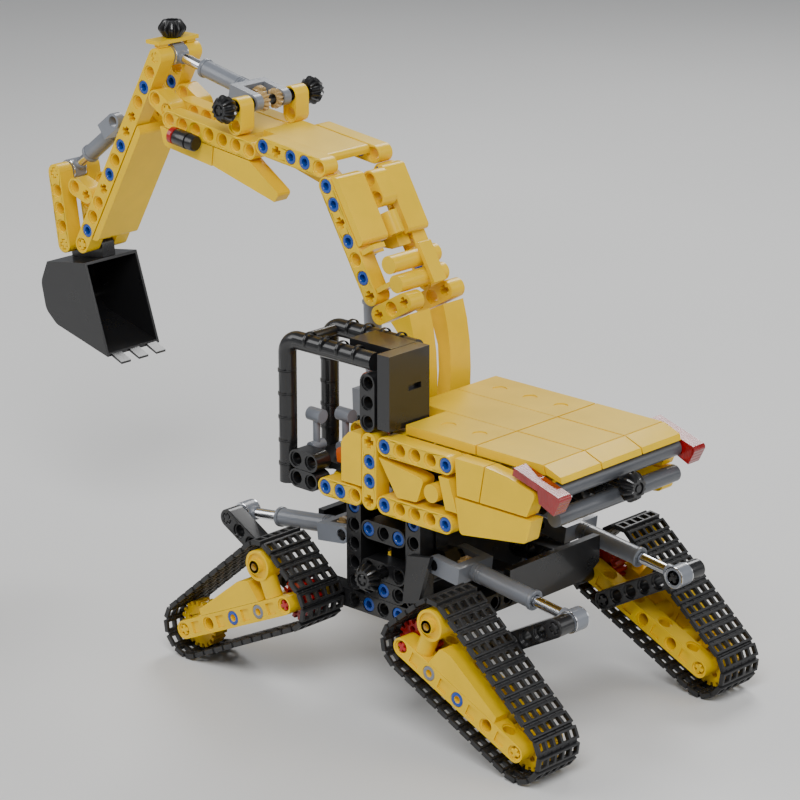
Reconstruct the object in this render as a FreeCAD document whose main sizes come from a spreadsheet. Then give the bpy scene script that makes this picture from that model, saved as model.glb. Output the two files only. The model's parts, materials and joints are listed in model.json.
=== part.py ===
"""Four-legged crawler excavator of a studless beam-and-pin building system.

The unit of length is the hole pitch of the beams.  X is forward, Y is left and Z is up.
The origin is the mouth of the stand hole in the chassis underside, on the slew axis.
"""
import FreeCAD, Part
import math
import os
import Sketcher

os.makedirs("parts", exist_ok=True)
doc = FreeCAD.newDocument("excavator")
Vector = FreeCAD.Vector
Rotation = FreeCAD.Rotation
Placement = FreeCAD.Placement

# ---------------------------------------------------------------- driving dimensions (mm)
SIZES = {
    "pitch": 8.0,                # distance between two neighbouring holes
    "seat_gap": 0.2,             # a beam is this much narrower than one pitch
    "bore_radius": 2.45,
    "rim_step": 0.65,            # the counterbore round a pin hole is this much wider
    "rim_depth": 0.8,
    "pin_fit": 0.05,             # room round a pin in its bore
    "pin_wall": 0.9,             # wall of a hollow pin
    "lip_fit": 0.2,              # room round a pin's lip in the counterbore
    "lip_depth": 0.6,
    "axle_fit": 0.35,            # room between the flats of an axle and a round bore
    "axle_rib": 1.6,
    "axle_play": 0.3,            # a cross hole is this much larger than the axle
    "knob_radius": 6.1,          # twelve-tooth hand knobs
    "knob_width": 7.0,
    "barrel_radius": 3.7,        # screw actuators
    "rod_radius": 2.2,
    "rod_fit": 0.3,              # room round a rod in its barrel
    "tube_radius": 3.7,          # round bars, spacers and the lamp
    "tube_gap": 0.74,            # between the two tubes across the boom
    "drive_wheel_radius": 10.0,  # tip radius of the outer track wheel
    "hub_wheel_radius": 8.6,     # tip radius of the inner track wheel
    "guide_radius": 6.4,         # hub that guides the top corner of the track
    "track_clearance": 0.5,      # from a wheel's tips to the inside of the track
    "track_width": 23.2,
    "track_thickness": 2.0,
    "track_pitch": 6.3,
    "track_joint_gap": 1.1,
    "bucket_wall": 1.2,
    "bucket_width": 31.0,
    "slot_play": 0.4,            # room beside parts that turn on each other
}
sheet = doc.addObject("Spreadsheet::Sheet", "Sizes")
for line, (alias, number) in enumerate(SIZES.items(), start=1):
    sheet.set(f"A{line}", str(number))
    sheet.setAlias(f"A{line}", alias)
doc.recompute()
P = sheet.pitch

# sizes that follow from the driving ones
PIN_RADIUS = "(Sizes.bore_radius - Sizes.pin_fit)"
PIN_CORE = "(Sizes.bore_radius - Sizes.pin_fit - Sizes.pin_wall)"
RIM_RADIUS = "(Sizes.bore_radius + Sizes.rim_step)"
LIP_RADIUS = "(Sizes.bore_radius + Sizes.rim_step - Sizes.lip_fit)"
AXLE_WIDTH = "(2 * (Sizes.bore_radius - Sizes.axle_fit))"
TUBE = sheet.tube_radius / P     # in pitches

# places in pitches: (forward, up) in the side view, y = sideways
POD_SLOPE = 24.4                 # degrees that a leg's beams fall outwards
LEG_PIVOT = (4.0, 0.5)
POD_MIDDLE = 7.0                 # y of a pod's middle
POD_LENGTH = 8.0                 # from the inner to the outer wheel
GUIDE_AT = (1.0, 2.25)           # top corner of the track, along and above the leg beam
LEVER_ANGLE = 53.13              # between the leg beam and its lever
LEVER_PIN = 2.0                  # where the lever is pinned along the leg beam
LEVER_LENGTH = 6.0
LEG_SCREW_AT = (3.1, 3.6)        # pivot of a leg actuator on the chassis
SCREW_Y = 4.0
BOOM_PIVOT = (2.0, 8.5)
BOOM_BEND = (8.21, 20.91)
BOOM_RISE = 6.5                  # degrees, front part of the boom
BOOM_DROP = 59.5                 # degrees, rear part of the boom
LIFT_FOOT = (6.6, 7.6)
LIFT_HEAD = (6.99, 16.94)
STICK_TOP = (21.18, 24.54)
STICK_FALL = 60.9                # degrees below the horizontal
STICK_HOLES = 14
BUCKET_LINK_LENGTH = 4.0


# ---------------------------------------------------------------- small builders
def mm(pitches):
    """Expression for a length given in pitches."""
    return f"Sizes.pitch * {pitches:.5g}"


def bind(thing, **expressions):
    for name, text in expressions.items():
        thing.setExpression(name, text)
    return thing


def seat(thing, at, rotation=Rotation()):
    """Place an object at a point given in pitches, bound to the pitch cell."""
    thing.Placement = Placement(Vector(*at) * P, rotation)
    for axis, value in zip("xyz", at):
        thing.setExpression(f"Placement.Base.{axis}", mm(value))
    return thing


def box(name, low, high):
    """A box between two corners given in pitches."""
    part = doc.addObject("Part::Box", name)
    bind(part, Length=mm(high[0] - low[0]), Width=mm(high[1] - low[1]), Height=mm(high[2] - low[2]))
    return seat(part, low)


TO_Y = Rotation(Vector(1, 0, 0), -90)
TO_X = Rotation(Vector(0, 1, 0), 90)


def rod_along(name, at, length, radius, turn=Rotation()):
    """A cylinder with its middle at a point; radius is a sheet expression, length in pitches."""
    part = doc.addObject("Part::Cylinder", name)
    bind(part, Radius=radius, Height=mm(length))
    start = Vector(*at) - turn.multVec(Vector(0, 0, length / 2))
    return seat(part, tuple(start), turn)


def own(name, thing):
    """A template from a single placed primitive, so that copies keep its own place."""
    part = doc.addObject("Part::Compound", name)
    part.Links = [thing]
    return part


def fuse(name, pieces):
    part = doc.addObject("Part::MultiFuse", name)
    part.Shapes = pieces
    return part


def cut(name, base, tools):
    part = doc.addObject("Part::Cut", name)
    part.Base = base
    part.Tool = tools[0] if len(tools) == 1 else fuse(name + "_tools", tools)
    return part


copies = 0


def lay(template, at=(0, 0, 0), rise=0.0, roll=0.0, yaw=0.0):
    """A linked copy of a template: rolled about X, raised in the side view, then turned about Z."""
    global copies
    copies += 1
    link = doc.addObject("App::Link", f"copy{copies}")
    link.LinkedObject = template
    turn = (Rotation(Vector(0, 0, 1), yaw) * Rotation(Vector(0, 1, 0), -rise)
            * Rotation(Vector(1, 0, 0), roll))
    return seat(link, at, turn)


def length_of(value):
    """Expression for a place given in pitches, or already as an expression."""
    return value if isinstance(value, str) else mm(value)


def outline(name, points, y_low, y_high, rounds=None):
    """A PartDesign body: a side-view outline in pitches, padded from y_low to y_high.

    rounds maps the index of a corner to its radius in pitches.
    """
    body = doc.addObject("PartDesign::Body", name)
    plane = [f for f in body.Origin.OriginFeatures if f.Role == "XZ_Plane"][0]
    sketch = body.newObject("Sketcher::SketchObject", name + "_outline")
    sketch.AttachmentSupport = [(plane, "")]
    sketch.MapMode = "FlatFace"
    sketch.setExpression("AttachmentOffset.Base.z", f"-({length_of(y_high)})")
    corners = [Vector(x * P, z * P, 0) for x, z in points]
    count = len(corners)
    sketch.addGeometry([Part.LineSegment(corners[i], corners[(i + 1) % count]) for i in range(count)])
    rules = [Sketcher.Constraint("Coincident", i, 2, (i + 1) % count, 1) for i in range(count)]
    for i, (x, z) in enumerate(points):
        rules.append(Sketcher.Constraint("DistanceX", -1, 1, i, 1, x * P))
        rules.append(Sketcher.Constraint("DistanceY", -1, 1, i, 1, z * P))
    sketch.addConstraint(rules)
    for i, (x, z) in enumerate(points):
        sketch.setExpression(f"Constraints[{count + 2 * i}]", mm(x))
        sketch.setExpression(f"Constraints[{count + 2 * i + 1}]", mm(z))
    pad = body.newObject("PartDesign::Pad", name + "_pad")
    pad.Profile = sketch
    pad.setExpression("Length", f"({length_of(y_high)}) - ({length_of(y_low)})")
    doc.recompute()
    for number, (corner, radius) in enumerate((rounds or {}).items()):
        x, z = points[corner]
        tip = body.Tip
        edges = []
        for k, edge in enumerate(tip.Shape.Edges, start=1):
            ends = [v.Point for v in edge.Vertexes]
            if all(abs(p.x - x * P) < 0.01 and abs(p.z - z * P) < 0.01 for p in ends):
                edges.append(f"Edge{k}")
        fillet = body.newObject("PartDesign::Fillet", f"{name}_round{number}")
        fillet.Base = (tip, edges)
        fillet.setExpression("Radius", mm(radius))
        doc.recompute()
    return body


NODES = []


def node(name, pieces):
    """One sub-part: a compound of its pieces, whose label names its file."""
    group = doc.addObject("Part::Compound", name)
    group.Label = name
    group.Links = pieces
    NODES.append(group)
    return group


# ---------------------------------------------------------------- templates: beams, pins, axles
HALF = "(Sizes.pitch - Sizes.seat_gap) / 2"


def make_bore():
    """Cutter of a pin hole along Y with its two counterbores."""
    long_bore = rod_along("bore_middle", (0, 0, 0), 2, "Sizes.bore_radius", TO_Y)
    rims = []
    for side, turn in (("left", TO_Y), ("right", TO_Y.inverted())):
        rim = doc.addObject("Part::Cylinder", "bore_rim_" + side)
        bind(rim, Radius=RIM_RADIUS, Height="Sizes.pitch")
        rim.Placement = Placement(Vector(), turn)
        sign = "" if side == "left" else "-"
        rim.setExpression("Placement.Base.y", f"{sign}({HALF} - Sizes.rim_depth)")
        rims.append(rim)
    return fuse("bore", [long_bore] + rims)


def make_cross(name, wide, rib, length):
    """A cross-shaped bar along Y: an axle, or the cutter of an axle hole."""
    ribs = []
    for tag, width, height in (("flat", wide, rib), ("tall", rib, wide)):
        part = doc.addObject("Part::Box", f"{name}_{tag}")
        bind(part, Length=width, Width=mm(length), Height=height)
        bind(part, **{"Placement.Base.x": f"-({width}) / 2", "Placement.Base.z": f"-({height}) / 2",
                      "Placement.Base.y": mm(-length / 2)})
        ribs.append(part)
    return fuse(name, ribs)


bore = make_bore()
cross_hole = make_cross("cross_hole", AXLE_WIDTH + " + Sizes.axle_play",
                        "Sizes.axle_rib + Sizes.axle_play", 2)


def make_recess():
    """Cutter of the shallow side pockets beside an upright hole."""
    sides = []
    for tag, sign in (("left", 1), ("right", -1)):
        part = box("recess_" + tag, (-0.3, 0.39 if sign > 0 else -0.6, -0.3),
                   (0.3, 0.6 if sign > 0 else -0.39, 0.3))
        sides.append(part)
    return fuse("recess", sides)


recess = make_recess()
beam_cache = {}


def beam(holes):
    """A beam along X with its first hole at the origin.

    Each letter is one pitch: o a pin hole, x an axle hole, v an upright hole between pockets,
    and - a solid stretch.
    """
    if holes in beam_cache:
        return beam_cache[holes]
    tag = f"beam{len(beam_cache)}_"
    span = len(holes) - 1
    bar = doc.addObject("Part::Box", tag + "bar")
    side = "Sizes.pitch - Sizes.seat_gap"
    bind(bar, Length=mm(max(span, 0.001)), Width=side, Height=side)
    bind(bar, **{"Placement.Base.y": f"-{HALF}", "Placement.Base.z": f"-{HALF}"})
    solids = [bar]
    for number, place in enumerate((0, span)):
        end = doc.addObject("Part::Cylinder", f"{tag}end{number}")
        bind(end, Radius=HALF, Height=side)
        end.Placement = Placement(Vector(), TO_Y)
        bind(end, **{"Placement.Base.x": mm(place), "Placement.Base.y": f"-{HALF}"})
        solids.append(end)
    tools = []
    for place, kind in enumerate(holes):
        if kind == "o":
            tools.append(lay(bore, (place, 0, 0)))
        elif kind == "x":
            tools.append(lay(cross_hole, (place, 0, 0)))
        elif kind == "v":
            tools.append(lay(bore, (place, 0, 0), roll=90))
            tools.append(lay(recess, (place, 0, 0)))
    body = fuse(tag + "body", solids)
    beam_cache[holes] = cut(tag + "cut", body, tools) if tools else body
    return beam_cache[holes]


def make_pin():
    """A pin one beam thick, along Y, with a lip at each end and hollow ends."""
    shank = doc.addObject("Part::Cylinder", "pin_shank")
    recessed = "(Sizes.rim_depth - Sizes.lip_depth)"
    bind(shank, Radius=PIN_RADIUS, Height=f"Sizes.pitch - Sizes.seat_gap - 2 * {recessed}")
    shank.Placement = Placement(Vector(), TO_Y)
    shank.setExpression("Placement.Base.y", f"{recessed} - {HALF}")
    lips = []
    for side, turn, sign in (("left", TO_Y, ""), ("right", TO_Y.inverted(), "-")):
        lip = doc.addObject("Part::Cylinder", "pin_lip_" + side)
        bind(lip, Radius=LIP_RADIUS, Height="Sizes.lip_depth")
        lip.Placement = Placement(Vector(), turn)
        lip.setExpression("Placement.Base.y", f"{sign}({HALF} - Sizes.rim_depth)")
        lips.append(lip)
    hollows = []
    for side, sign in (("left", 1), ("right", -1)):
        hollows.append(rod_along("pin_hollow_" + side, (0, 0.5 * sign, 0), 0.5,
                                 PIN_CORE, TO_Y))
    return cut("pin", fuse("pin_body", [shank] + lips), hollows)


pin = make_pin()
axle_cache = {}


def axle(length):
    """A cross axle along Y, centred on the origin, its length in pitches."""
    if length not in axle_cache:
        axle_cache[length] = make_cross(f"axle{len(axle_cache)}", AXLE_WIDTH,
                                        "Sizes.axle_rib", length)
    return axle_cache[length]


# ---------------------------------------------------------------- templates: toothed wheels
def star(name, teeth, tip, root, width, tooth):
    """Spokes and core of a toothed wheel along Y; all sizes are sheet expressions."""
    core = doc.addObject("Part::Cylinder", name + "_core")
    bind(core, Radius=root, Height=width)
    core.Placement = Placement(Vector(), TO_Y)
    core.setExpression("Placement.Base.y", f"-({width}) / 2")
    solids = [core]
    for k in range(teeth // 2):
        bar = doc.addObject("Part::Box", f"{name}_tooth{k}")
        bind(bar, Length=f"2 * ({tip})", Width=width, Height=tooth)
        turn = Rotation(Vector(0, 1, 0), 360.0 * k / teeth)
        # the bar is centred by its own middle, so its corner depends on the turn
        angle = math.radians(360.0 * k / teeth)
        bar.Placement = Placement(Vector(), turn)
        bind(bar, **{
            "Placement.Base.x": f"-({tip}) * {math.cos(angle):.6f} - ({tooth}) / 2 * {math.sin(angle):.6f}",
            "Placement.Base.z": f"({tip}) * {math.sin(angle):.6f} - ({tooth}) / 2 * {math.cos(angle):.6f}",
            "Placement.Base.y": f"-({width}) / 2"})
        solids.append(bar)
    return fuse(name + "_star", solids)


def make_knob():
    """A twelve-tooth bevelled knob along Y: the teeth are turned down towards both faces."""
    teeth = star("knob", 12, "Sizes.knob_radius", "Sizes.knob_radius * 0.72", "Sizes.knob_width",
                 "Sizes.knob_radius * 0.24")
    shells = []
    for side, turn in (("left", TO_Y.inverted()), ("right", TO_Y)):
        cone = doc.addObject("Part::Cone", "knob_cone_" + side)
        bind(cone, Radius1="Sizes.knob_radius * 1.02", Radius2="Sizes.knob_radius * 0.66",
             Height="Sizes.knob_width / 2")
        cone.Placement = Placement(Vector(), turn)
        shells.append(cone)
    blank = doc.addObject("Part::MultiCommon", "knob_blank")
    blank.Shapes = [teeth, fuse("knob_shell", shells)]
    return cut("knob", blank, [lay(cross_hole)])


knob = make_knob()


def toothed_wheel(name, teeth, tip, holes):
    """A spur wheel one beam thick with a ring of lightening holes."""
    wheel = star(name, teeth, tip, f"{tip} - 1.6", "Sizes.pitch - 1", f"{tip} * 3.14 / {teeth}")
    tools = []
    for k in range(holes):
        angle = math.radians(360.0 * k / holes + 45)
        reach = 0.62
        tools.append(rod_along(f"{name}_hole{k}", (reach * math.cos(angle), 0, reach * math.sin(angle)),
                               2, "Sizes.axle_rib * 0.75", TO_Y))
    return cut(name, wheel, tools)


drive_wheel = toothed_wheel("outer_wheel", 20, "Sizes.drive_wheel_radius", 4)
hub_wheel = toothed_wheel("inner_wheel", 16, "Sizes.hub_wheel_radius", 4)


# ---------------------------------------------------------------- side-view geometry
def along(start, degrees, distance, offset=0.0):
    """A point at a distance along a direction, and an offset to the left of that direction."""
    c, s = math.cos(math.radians(degrees)), math.sin(math.radians(degrees))
    return (start[0] + distance * c - offset * s, start[1] + distance * s + offset * c)


def angle_of(start, end):
    return math.degrees(math.atan2(end[1] - start[1], end[0] - start[0]))


def span_of(start, end):
    return math.hypot(end[0] - start[0], end[1] - start[1])


LEVER_FOOT = along(LEG_PIVOT, -POD_SLOPE, LEVER_PIN)
LEVER_HEAD = along(LEVER_FOOT, LEVER_ANGLE - POD_SLOPE, LEVER_LENGTH)
BOOM_FRONT = along(BOOM_BEND, BOOM_RISE, 3)
STICK_PIVOT = along(STICK_TOP, -STICK_FALL, 2, -2)
BUCKET_PIVOT = along(STICK_TOP, -STICK_FALL, STICK_HOLES - 1)
BUCKET_LINK_FOOT = (28.99, 12.92)
BUCKET_LINK_HEAD = along(BUCKET_LINK_FOOT, 81.0, BUCKET_LINK_LENGTH)
BUCKET_SCREW_AT = along(STICK_TOP, -STICK_FALL, 5.4, 1.3)


# ---------------------------------------------------------------- actuators
BARREL_BOTTOM = 0.15             # wall behind the bore of a barrel


def barrel(name, at, angle, length, y, arms=1.5, yoke=1.6):
    """Barrel of a screw actuator: a yoke that turns on its pivot, and a bored barrel."""
    pieces = []
    reach = arms
    for sign in (1, -1):
        ear = outline(f"{name}_ear{'a' if sign > 0 else 'b'}",
                      [(-0.45, -0.45), (yoke, -0.45), (yoke, 0.45), (-0.45, 0.45)],
                      sign * (reach - 0.5) - 0.24, sign * (reach - 0.5) + 0.24, {0: 0.44, 3: 0.44})
        hole = rod_along(f"{name}_eye{'a' if sign > 0 else 'b'}", (0, sign * (reach - 0.5), 0), 1,
                         "Sizes.bore_radius", TO_Y)
        pieces.append(cut(f"{name}_arm{'a' if sign > 0 else 'b'}", ear, [hole]))
    bridge = outline(f"{name}_bridge", [(yoke - 0.4, -0.45), (yoke + 0.1, -0.45), (yoke + 0.1, 0.45),
                                        (yoke - 0.4, 0.45)], -(reach - 0.26), reach - 0.26)
    tube = doc.addObject("Part::Cylinder", name + "_tube")
    bind(tube, Radius="Sizes.barrel_radius", Height=mm(length - yoke))
    seat(tube, (yoke, 0, 0), TO_X)
    whole = fuse(name + "_whole", pieces + [bridge, tube])
    inside = doc.addObject("Part::Cylinder", name + "_bore")
    bind(inside, Radius="Sizes.rod_radius + Sizes.rod_fit", Height=mm(length))
    seat(inside, (yoke + BARREL_BOTTOM, 0, 0), TO_X)
    return lay(cut(name + "_solid", whole, [inside]), (at[0], y, at[1]), rise=angle)


def rod(name, at, angle, start, end, y, eye_width=0.9):
    """Rod of a screw actuator, from start to its eye at end, measured from the barrel's pivot."""
    stem = doc.addObject("Part::Cylinder", name + "_stem")
    bind(stem, Radius="Sizes.rod_radius", Height=mm(end - start))
    seat(stem, (start, 0, 0), TO_X)
    eye = rod_along(name + "_eye", (end, 0, 0), eye_width, "Sizes.barrel_radius + 2 * Sizes.slot_play",
                    TO_Y)
    hole = rod_along(name + "_hole", (end, 0, 0), 3, "Sizes.bore_radius + 1.5 * Sizes.slot_play", TO_Y)
    return lay(cut(name + "_solid", fuse(name + "_whole", [stem, eye]), [hole]),
               (at[0], y, at[1]), rise=angle)


# ---------------------------------------------------------------- legs
def track_path():
    """The track's loop round its three wheels: straight runs and arcs at mid thickness, in mm.

    Returned as pieces (length, function giving point and heading) in the leg's own plane,
    with x along the leg beam and z above it.
    """
    half = sheet.track_thickness / 2 + sheet.track_clearance
    circles = [(0.0, 0.0, sheet.hub_wheel_radius + half),
               (GUIDE_AT[0] * P, GUIDE_AT[1] * P, sheet.guide_radius + half + 1.6),
               (POD_LENGTH * P, 0.0, sheet.drive_wheel_radius + half)]
    pieces = []
    headings = []
    for (x0, z0, r0), (x1, z1, r1) in zip(circles, circles[1:] + circles[:1]):
        base = math.atan2(z1 - z0, x1 - x0)
        gap = math.hypot(x1 - x0, z1 - z0)
        headings.append(base + math.asin((r1 - r0) / gap))
    for k, (x, z, r) in enumerate(circles):
        before, after = headings[k - 1], headings[k]
        turn = (before - after) % (2 * math.pi)
        pieces.append(("arc", r * turn, (x, z, r, before, turn)))
        nx, nz, nr = circles[(k + 1) % 3]
        start = (x - r * math.sin(after), z + r * math.cos(after))
        end = (nx - nr * math.sin(after), nz + nr * math.cos(after))
        pieces.append(("run", math.dist(start, end), (start, after)))
    return pieces


def track_point(pieces, distance):
    """Point and heading at a distance along the loop."""
    for kind, length, data in pieces:
        if distance <= length:
            break
        distance -= length
    if kind == "run":
        (x, z), heading = data
        return x + distance * math.cos(heading), z + distance * math.sin(heading), heading
    x, z, r, before, turn = data
    heading = before - distance / r
    return x - r * math.sin(heading), z + r * math.cos(heading), heading


def make_track_link():
    """One track link: a plate with five windows across it and two hinge ears below."""
    plate = doc.addObject("Part::Box", "link_plate")
    length = "Sizes.track_pitch - Sizes.track_joint_gap"
    bind(plate, Length=length, Width="Sizes.track_width", Height="Sizes.track_thickness")
    bind(plate, **{"Placement.Base.x": f"-({length}) / 2", "Placement.Base.y": "-Sizes.track_width / 2",
                   "Placement.Base.z": "-Sizes.track_thickness / 2"})
    windows = []
    for k in range(5):
        window = doc.addObject("Part::Box", f"link_window{k}")
        bind(window, Length=f"({length}) * 0.6", Width="Sizes.track_width * 0.13",
             Height="Sizes.track_thickness * 3")
        bind(window, **{"Placement.Base.x": f"-({length}) * 0.3",
                        "Placement.Base.y": f"Sizes.track_width * {(k - 2) * 0.19 - 0.065:.4f}",
                        "Placement.Base.z": "-Sizes.track_thickness * 1.5"})
        windows.append(window)
    return cut("track_link", plate, windows)


track_link = make_track_link()
TRACK = track_path()
TRACK_LENGTH = sum(piece[1] for piece in TRACK)
LINKS = round(TRACK_LENGTH / sheet.track_pitch)


def mirrored(pieces, name, front):
    """Front legs are built as drawn; rear legs are their mirror image in X."""
    group = doc.addObject("Part::Compound", name + "_drawn")
    group.Links = pieces
    if front > 0:
        return [group]
    flip = doc.addObject("Part::Mirroring", name + "_mirror")
    flip.Source = group
    flip.Normal = Vector(1, 0, 0)
    return [flip]


LEG_BEAM = beam("ovovovovo")
LEVER_BEAM = beam("oooooox")


def cover():
    """Sloping cover on the outer leg beam."""
    return outline("leg_cover", [(1.75, 0.5), (2.05, 1.65), (2.75, 1.75), (6.35, 0.85), (6.35, 0.5)],
                   -0.48, 0.48, {1: 0.2, 2: 0.6})


leg_cover = cover()


def make_guide():
    """Upright connector with the round guide hub of the track's top corner."""
    post = rod_along("guide_post", (GUIDE_AT[0], 0, (GUIDE_AT[1] + 0.5) / 2), GUIDE_AT[1] - 0.5,
                     "Sizes.tube_radius")
    hub = rod_along("guide_hub", (GUIDE_AT[0], 0, GUIDE_AT[1]), 0.96, "Sizes.guide_radius", TO_Y)
    ring = rod_along("guide_ring", (GUIDE_AT[0], 0.48, GUIDE_AT[1]), 0.2,
                     "Sizes.guide_radius - 1.2", TO_Y)
    core = rod_along("guide_core", (GUIDE_AT[0], 0.5, GUIDE_AT[1]), 0.4, LIP_RADIUS, TO_Y)
    hole = rod_along("guide_hole", (GUIDE_AT[0], 0, GUIDE_AT[1]), 3, PIN_CORE, TO_Y)
    dish = cut("guide_dish", fuse("guide_round", [hub, post]), [ring])
    return cut("guide", fuse("guide_whole", [dish, core]), [hole])


guide = make_guide()


def in_leg(template, u, v, y):
    x, z = along(LEG_PIVOT, -POD_SLOPE, u, v)
    return lay(template, (x, y, z), rise=-POD_SLOPE)


def leg(tag, front, side):
    """The pieces of one leg; front is 1 or -1 and side is 1 for left, -1 for right."""
    middle = side * POD_MIDDLE
    outer, inner = middle + side, middle - side
    lever_y = middle - 2 * side
    # yellow frame: two beams, spacers between them, the cover and the guide hub
    frame = [in_leg(LEG_BEAM, 0, 0, outer), in_leg(LEG_BEAM, 0, 0, inner)]
    spacer = doc.addObject("Part::Cylinder", f"spacer_{tag}")
    bind(spacer, Radius="Sizes.tube_radius", Height="Sizes.pitch + Sizes.seat_gap")
    spacer.Placement = Placement(Vector(), TO_Y)
    spacer.setExpression("Placement.Base.y", "-(Sizes.pitch + Sizes.seat_gap) / 2")
    spacer_hole = rod_along(f"spacer_hole_{tag}", (0, 0, 0), 3, "Sizes.bore_radius", TO_Y)
    spacer_ring = cut(f"spacer_ring_{tag}", spacer, [spacer_hole])
    for u in (2, 4, 6):
        frame.append(in_leg(spacer_ring, u, 0, middle))
    for u in (2, 4):
        frame.append(in_leg(pin, u, 0, outer))
    frame.append(in_leg(leg_cover, 0, 0, outer))
    frame.append(in_leg(guide, 0, 0, outer))
    node(f"leg_frame_{tag}", mirrored(frame, f"frame_{tag}", front))
    # black lever with the pin that holds it to the frame
    lever_rise = angle_of(LEVER_FOOT, LEVER_HEAD)
    lever = [lay(LEVER_BEAM, (LEVER_FOOT[0], lever_y, LEVER_FOOT[1]), rise=lever_rise),
             lay(axle(2.0), (LEVER_HEAD[0], lever_y - 0.5 * side, LEVER_HEAD[1]), rise=lever_rise),
             lay(axle(1.9), (LEVER_FOOT[0], middle - 1.5 * side, LEVER_FOOT[1]), rise=lever_rise)]
    node(f"leg_lever_{tag}", mirrored(lever, f"lever_{tag}", front))
    # track: every link is one solid
    links = []
    step = TRACK_LENGTH / LINKS
    for k in range(LINKS):
        x, z, heading = track_point(TRACK, (k + 0.5) * step)
        spot = along(LEG_PIVOT, -POD_SLOPE, x / P, z / P)
        links.append(lay(track_link, (spot[0], middle, spot[1]),
                         rise=math.degrees(heading) - POD_SLOPE))
    node(f"track_{tag}", mirrored(links, f"links_{tag}", front))
    for kind, template, u in (("drive_wheel", drive_wheel, POD_LENGTH), ("hub_wheel", hub_wheel, 0.0)):
        through = kind == "drive_wheel"
        shaft = axle(2.9 if through else 1.85)
        pieces = [in_leg(template, u, 0, middle),
                  in_leg(shaft, u, 0, middle if through else middle + 0.5 * side)]
        solid = fuse(f"{kind}_{tag}_solid", pieces)
        node(f"{kind}_{tag}", mirrored([solid], f"{kind}_{tag}", front))
    # screw actuator between the chassis and the head of the lever
    angle = angle_of(LEG_SCREW_AT, LEVER_HEAD)
    reach = span_of(LEG_SCREW_AT, LEVER_HEAD)
    screw_y = side * SCREW_Y
    node(f"leg_barrel_{tag}", mirrored([barrel(f"leg_barrel_{tag}_b", LEG_SCREW_AT, angle, 5.6,
                                               screw_y)], f"barrel_{tag}", front))
    node(f"leg_rod_{tag}", mirrored([rod(f"leg_rod_{tag}_r", LEG_SCREW_AT, angle, 2.45, reach,
                                         screw_y)], f"rod_{tag}", front))


for tag, front, side in (("front_left", 1, 1), ("front_right", 1, -1),
                         ("rear_left", -1, 1), ("rear_right", -1, -1)):
    leg(tag, front, side)


# ---------------------------------------------------------------- chassis
def square_rod(name, at, length, turn=Rotation()):
    return rod_along(name, at, length, "Sizes.tube_radius", turn)


stand_block = box("stand_block", (-2.4, -2, 0), (2.4, 2, 1))
stand_bore = rod_along("stand_bore", (0, 0, 0.5), 3, "Sizes.bore_radius")
chassis = [cut("chassis_middle", stand_block, [stand_bore]),
           box("chassis_core", (-1.4, -3.4, 1), (1.4, 3.4, 5.0)),
           rod_along("turntable_lower", (0, 0, 5.2), 0.4, "Sizes.pitch * 3.7")]
chassis_pins = []
for side in (1, -1):
    y = 5 * side
    chassis.append(lay(beam("ooooooooo"), (-4, y, 0.5)))
    chassis.append(lay(beam("ooo"), (-1, y, 1.5)))
    chassis.append(lay(beam("ooo"), (-1, y, 2.5)))
    chassis.append(lay(beam("ooo"), (-1, y, 4.5)))
    for front in (1, -1):
        chassis.append(lay(beam("ooooo"), (2 * front, y, 1.5), rise=90))
        chassis.append(lay(beam("ovo"), (2 * front, y - side, 2.6), rise=90))
        chassis.append(lay(axle(2.4), (LEG_SCREW_AT[0] * front, SCREW_Y * side, LEG_SCREW_AT[1])))
        leg_pin = rod_along(f"leg_pin_{front}_{side}", (LEG_PIVOT[0] * front, 5.5 * side, LEG_PIVOT[1]),
                            1.9, PIN_RADIUS, TO_Y)
        chassis.append(leg_pin)
        chassis_pins += [lay(pin, (2 * front, y, 5.5)), lay(pin, (front, y, 0.5)),
                         lay(pin, (front, y, 4.5))]
        ear = outline(f"screw_ear_{front}_{side}", [(2.0 * front, 3.1), (3.1 * front, 3.1),
                                                    (3.55 * front, 3.6), (3.1 * front, 4.1),
                                                    (2.6 * front, 4.1), (2.6 * front, 5.0),
                                                    (2.0 * front, 5.0)][::front],
                      SCREW_Y * side - 0.45, SCREW_Y * side + 0.45)
        ear_hole = rod_along(f"screw_ear_hole_{front}_{side}",
                             (LEG_SCREW_AT[0] * front, SCREW_Y * side, LEG_SCREW_AT[1]), 3,
                             "Sizes.bore_radius", TO_Y)
        column_room = box(f"column_room_{front}_{side}", (1.5 if front > 0 else -2.52, y - side - 0.6, 2),
                          (2.52 if front > 0 else -1.5, y - side + 0.6, 5.2))
        chassis.append(cut(f"screw_mount_{front}_{side}", ear, [ear_hole, column_room]))
    chassis_pins.append(lay(pin, (0, y, 1.5)))
    shield = [(-1.85, 3.9), (-3.4, 4.2), (-2.6, 1.6), (-1.55, 1.35)]
    chassis.append(outline(f"shield_{side}", shield, 5.5 if side > 0 else -5.75,
                           5.75 if side > 0 else -5.5))
for front in (1, -1):
    chassis.append(lay(beam("ooooooooo"), (3 * front, -4, 0.5), yaw=90))
    face = outline(f"end_panel_{front}", [(-3.4, 3.7), (-3.4, 2.3), (-2.2, 1.6), (2.2, 1.6),
                                          (3.4, 2.3), (3.4, 3.7)], -0.2, 0.2, {2: 0.5, 3: 0.5})
    chassis.append(lay(face, (6.3 * front, 0, 0), yaw=90))
    for y in (-2, 2):
        chassis.append(lay(beam("oooo"), (2.6 if front > 0 else -5.6, y, 2.6)))
node("chassis_frame", chassis)
node("chassis_pins", chassis_pins)
for side, tag in ((1, "left"), (-1, "right")):
    solid = fuse(f"leg_knob_solid_{tag}", [lay(knob, (0, 6.55 * side, 2.5)),
                                          lay(axle(3.3), (0, 5.25 * side, 2.5))])
    node(f"leg_knob_{tag}", [solid])

# ---------------------------------------------------------------- house
UP = 6.5                         # height of the house's lower rails


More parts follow.
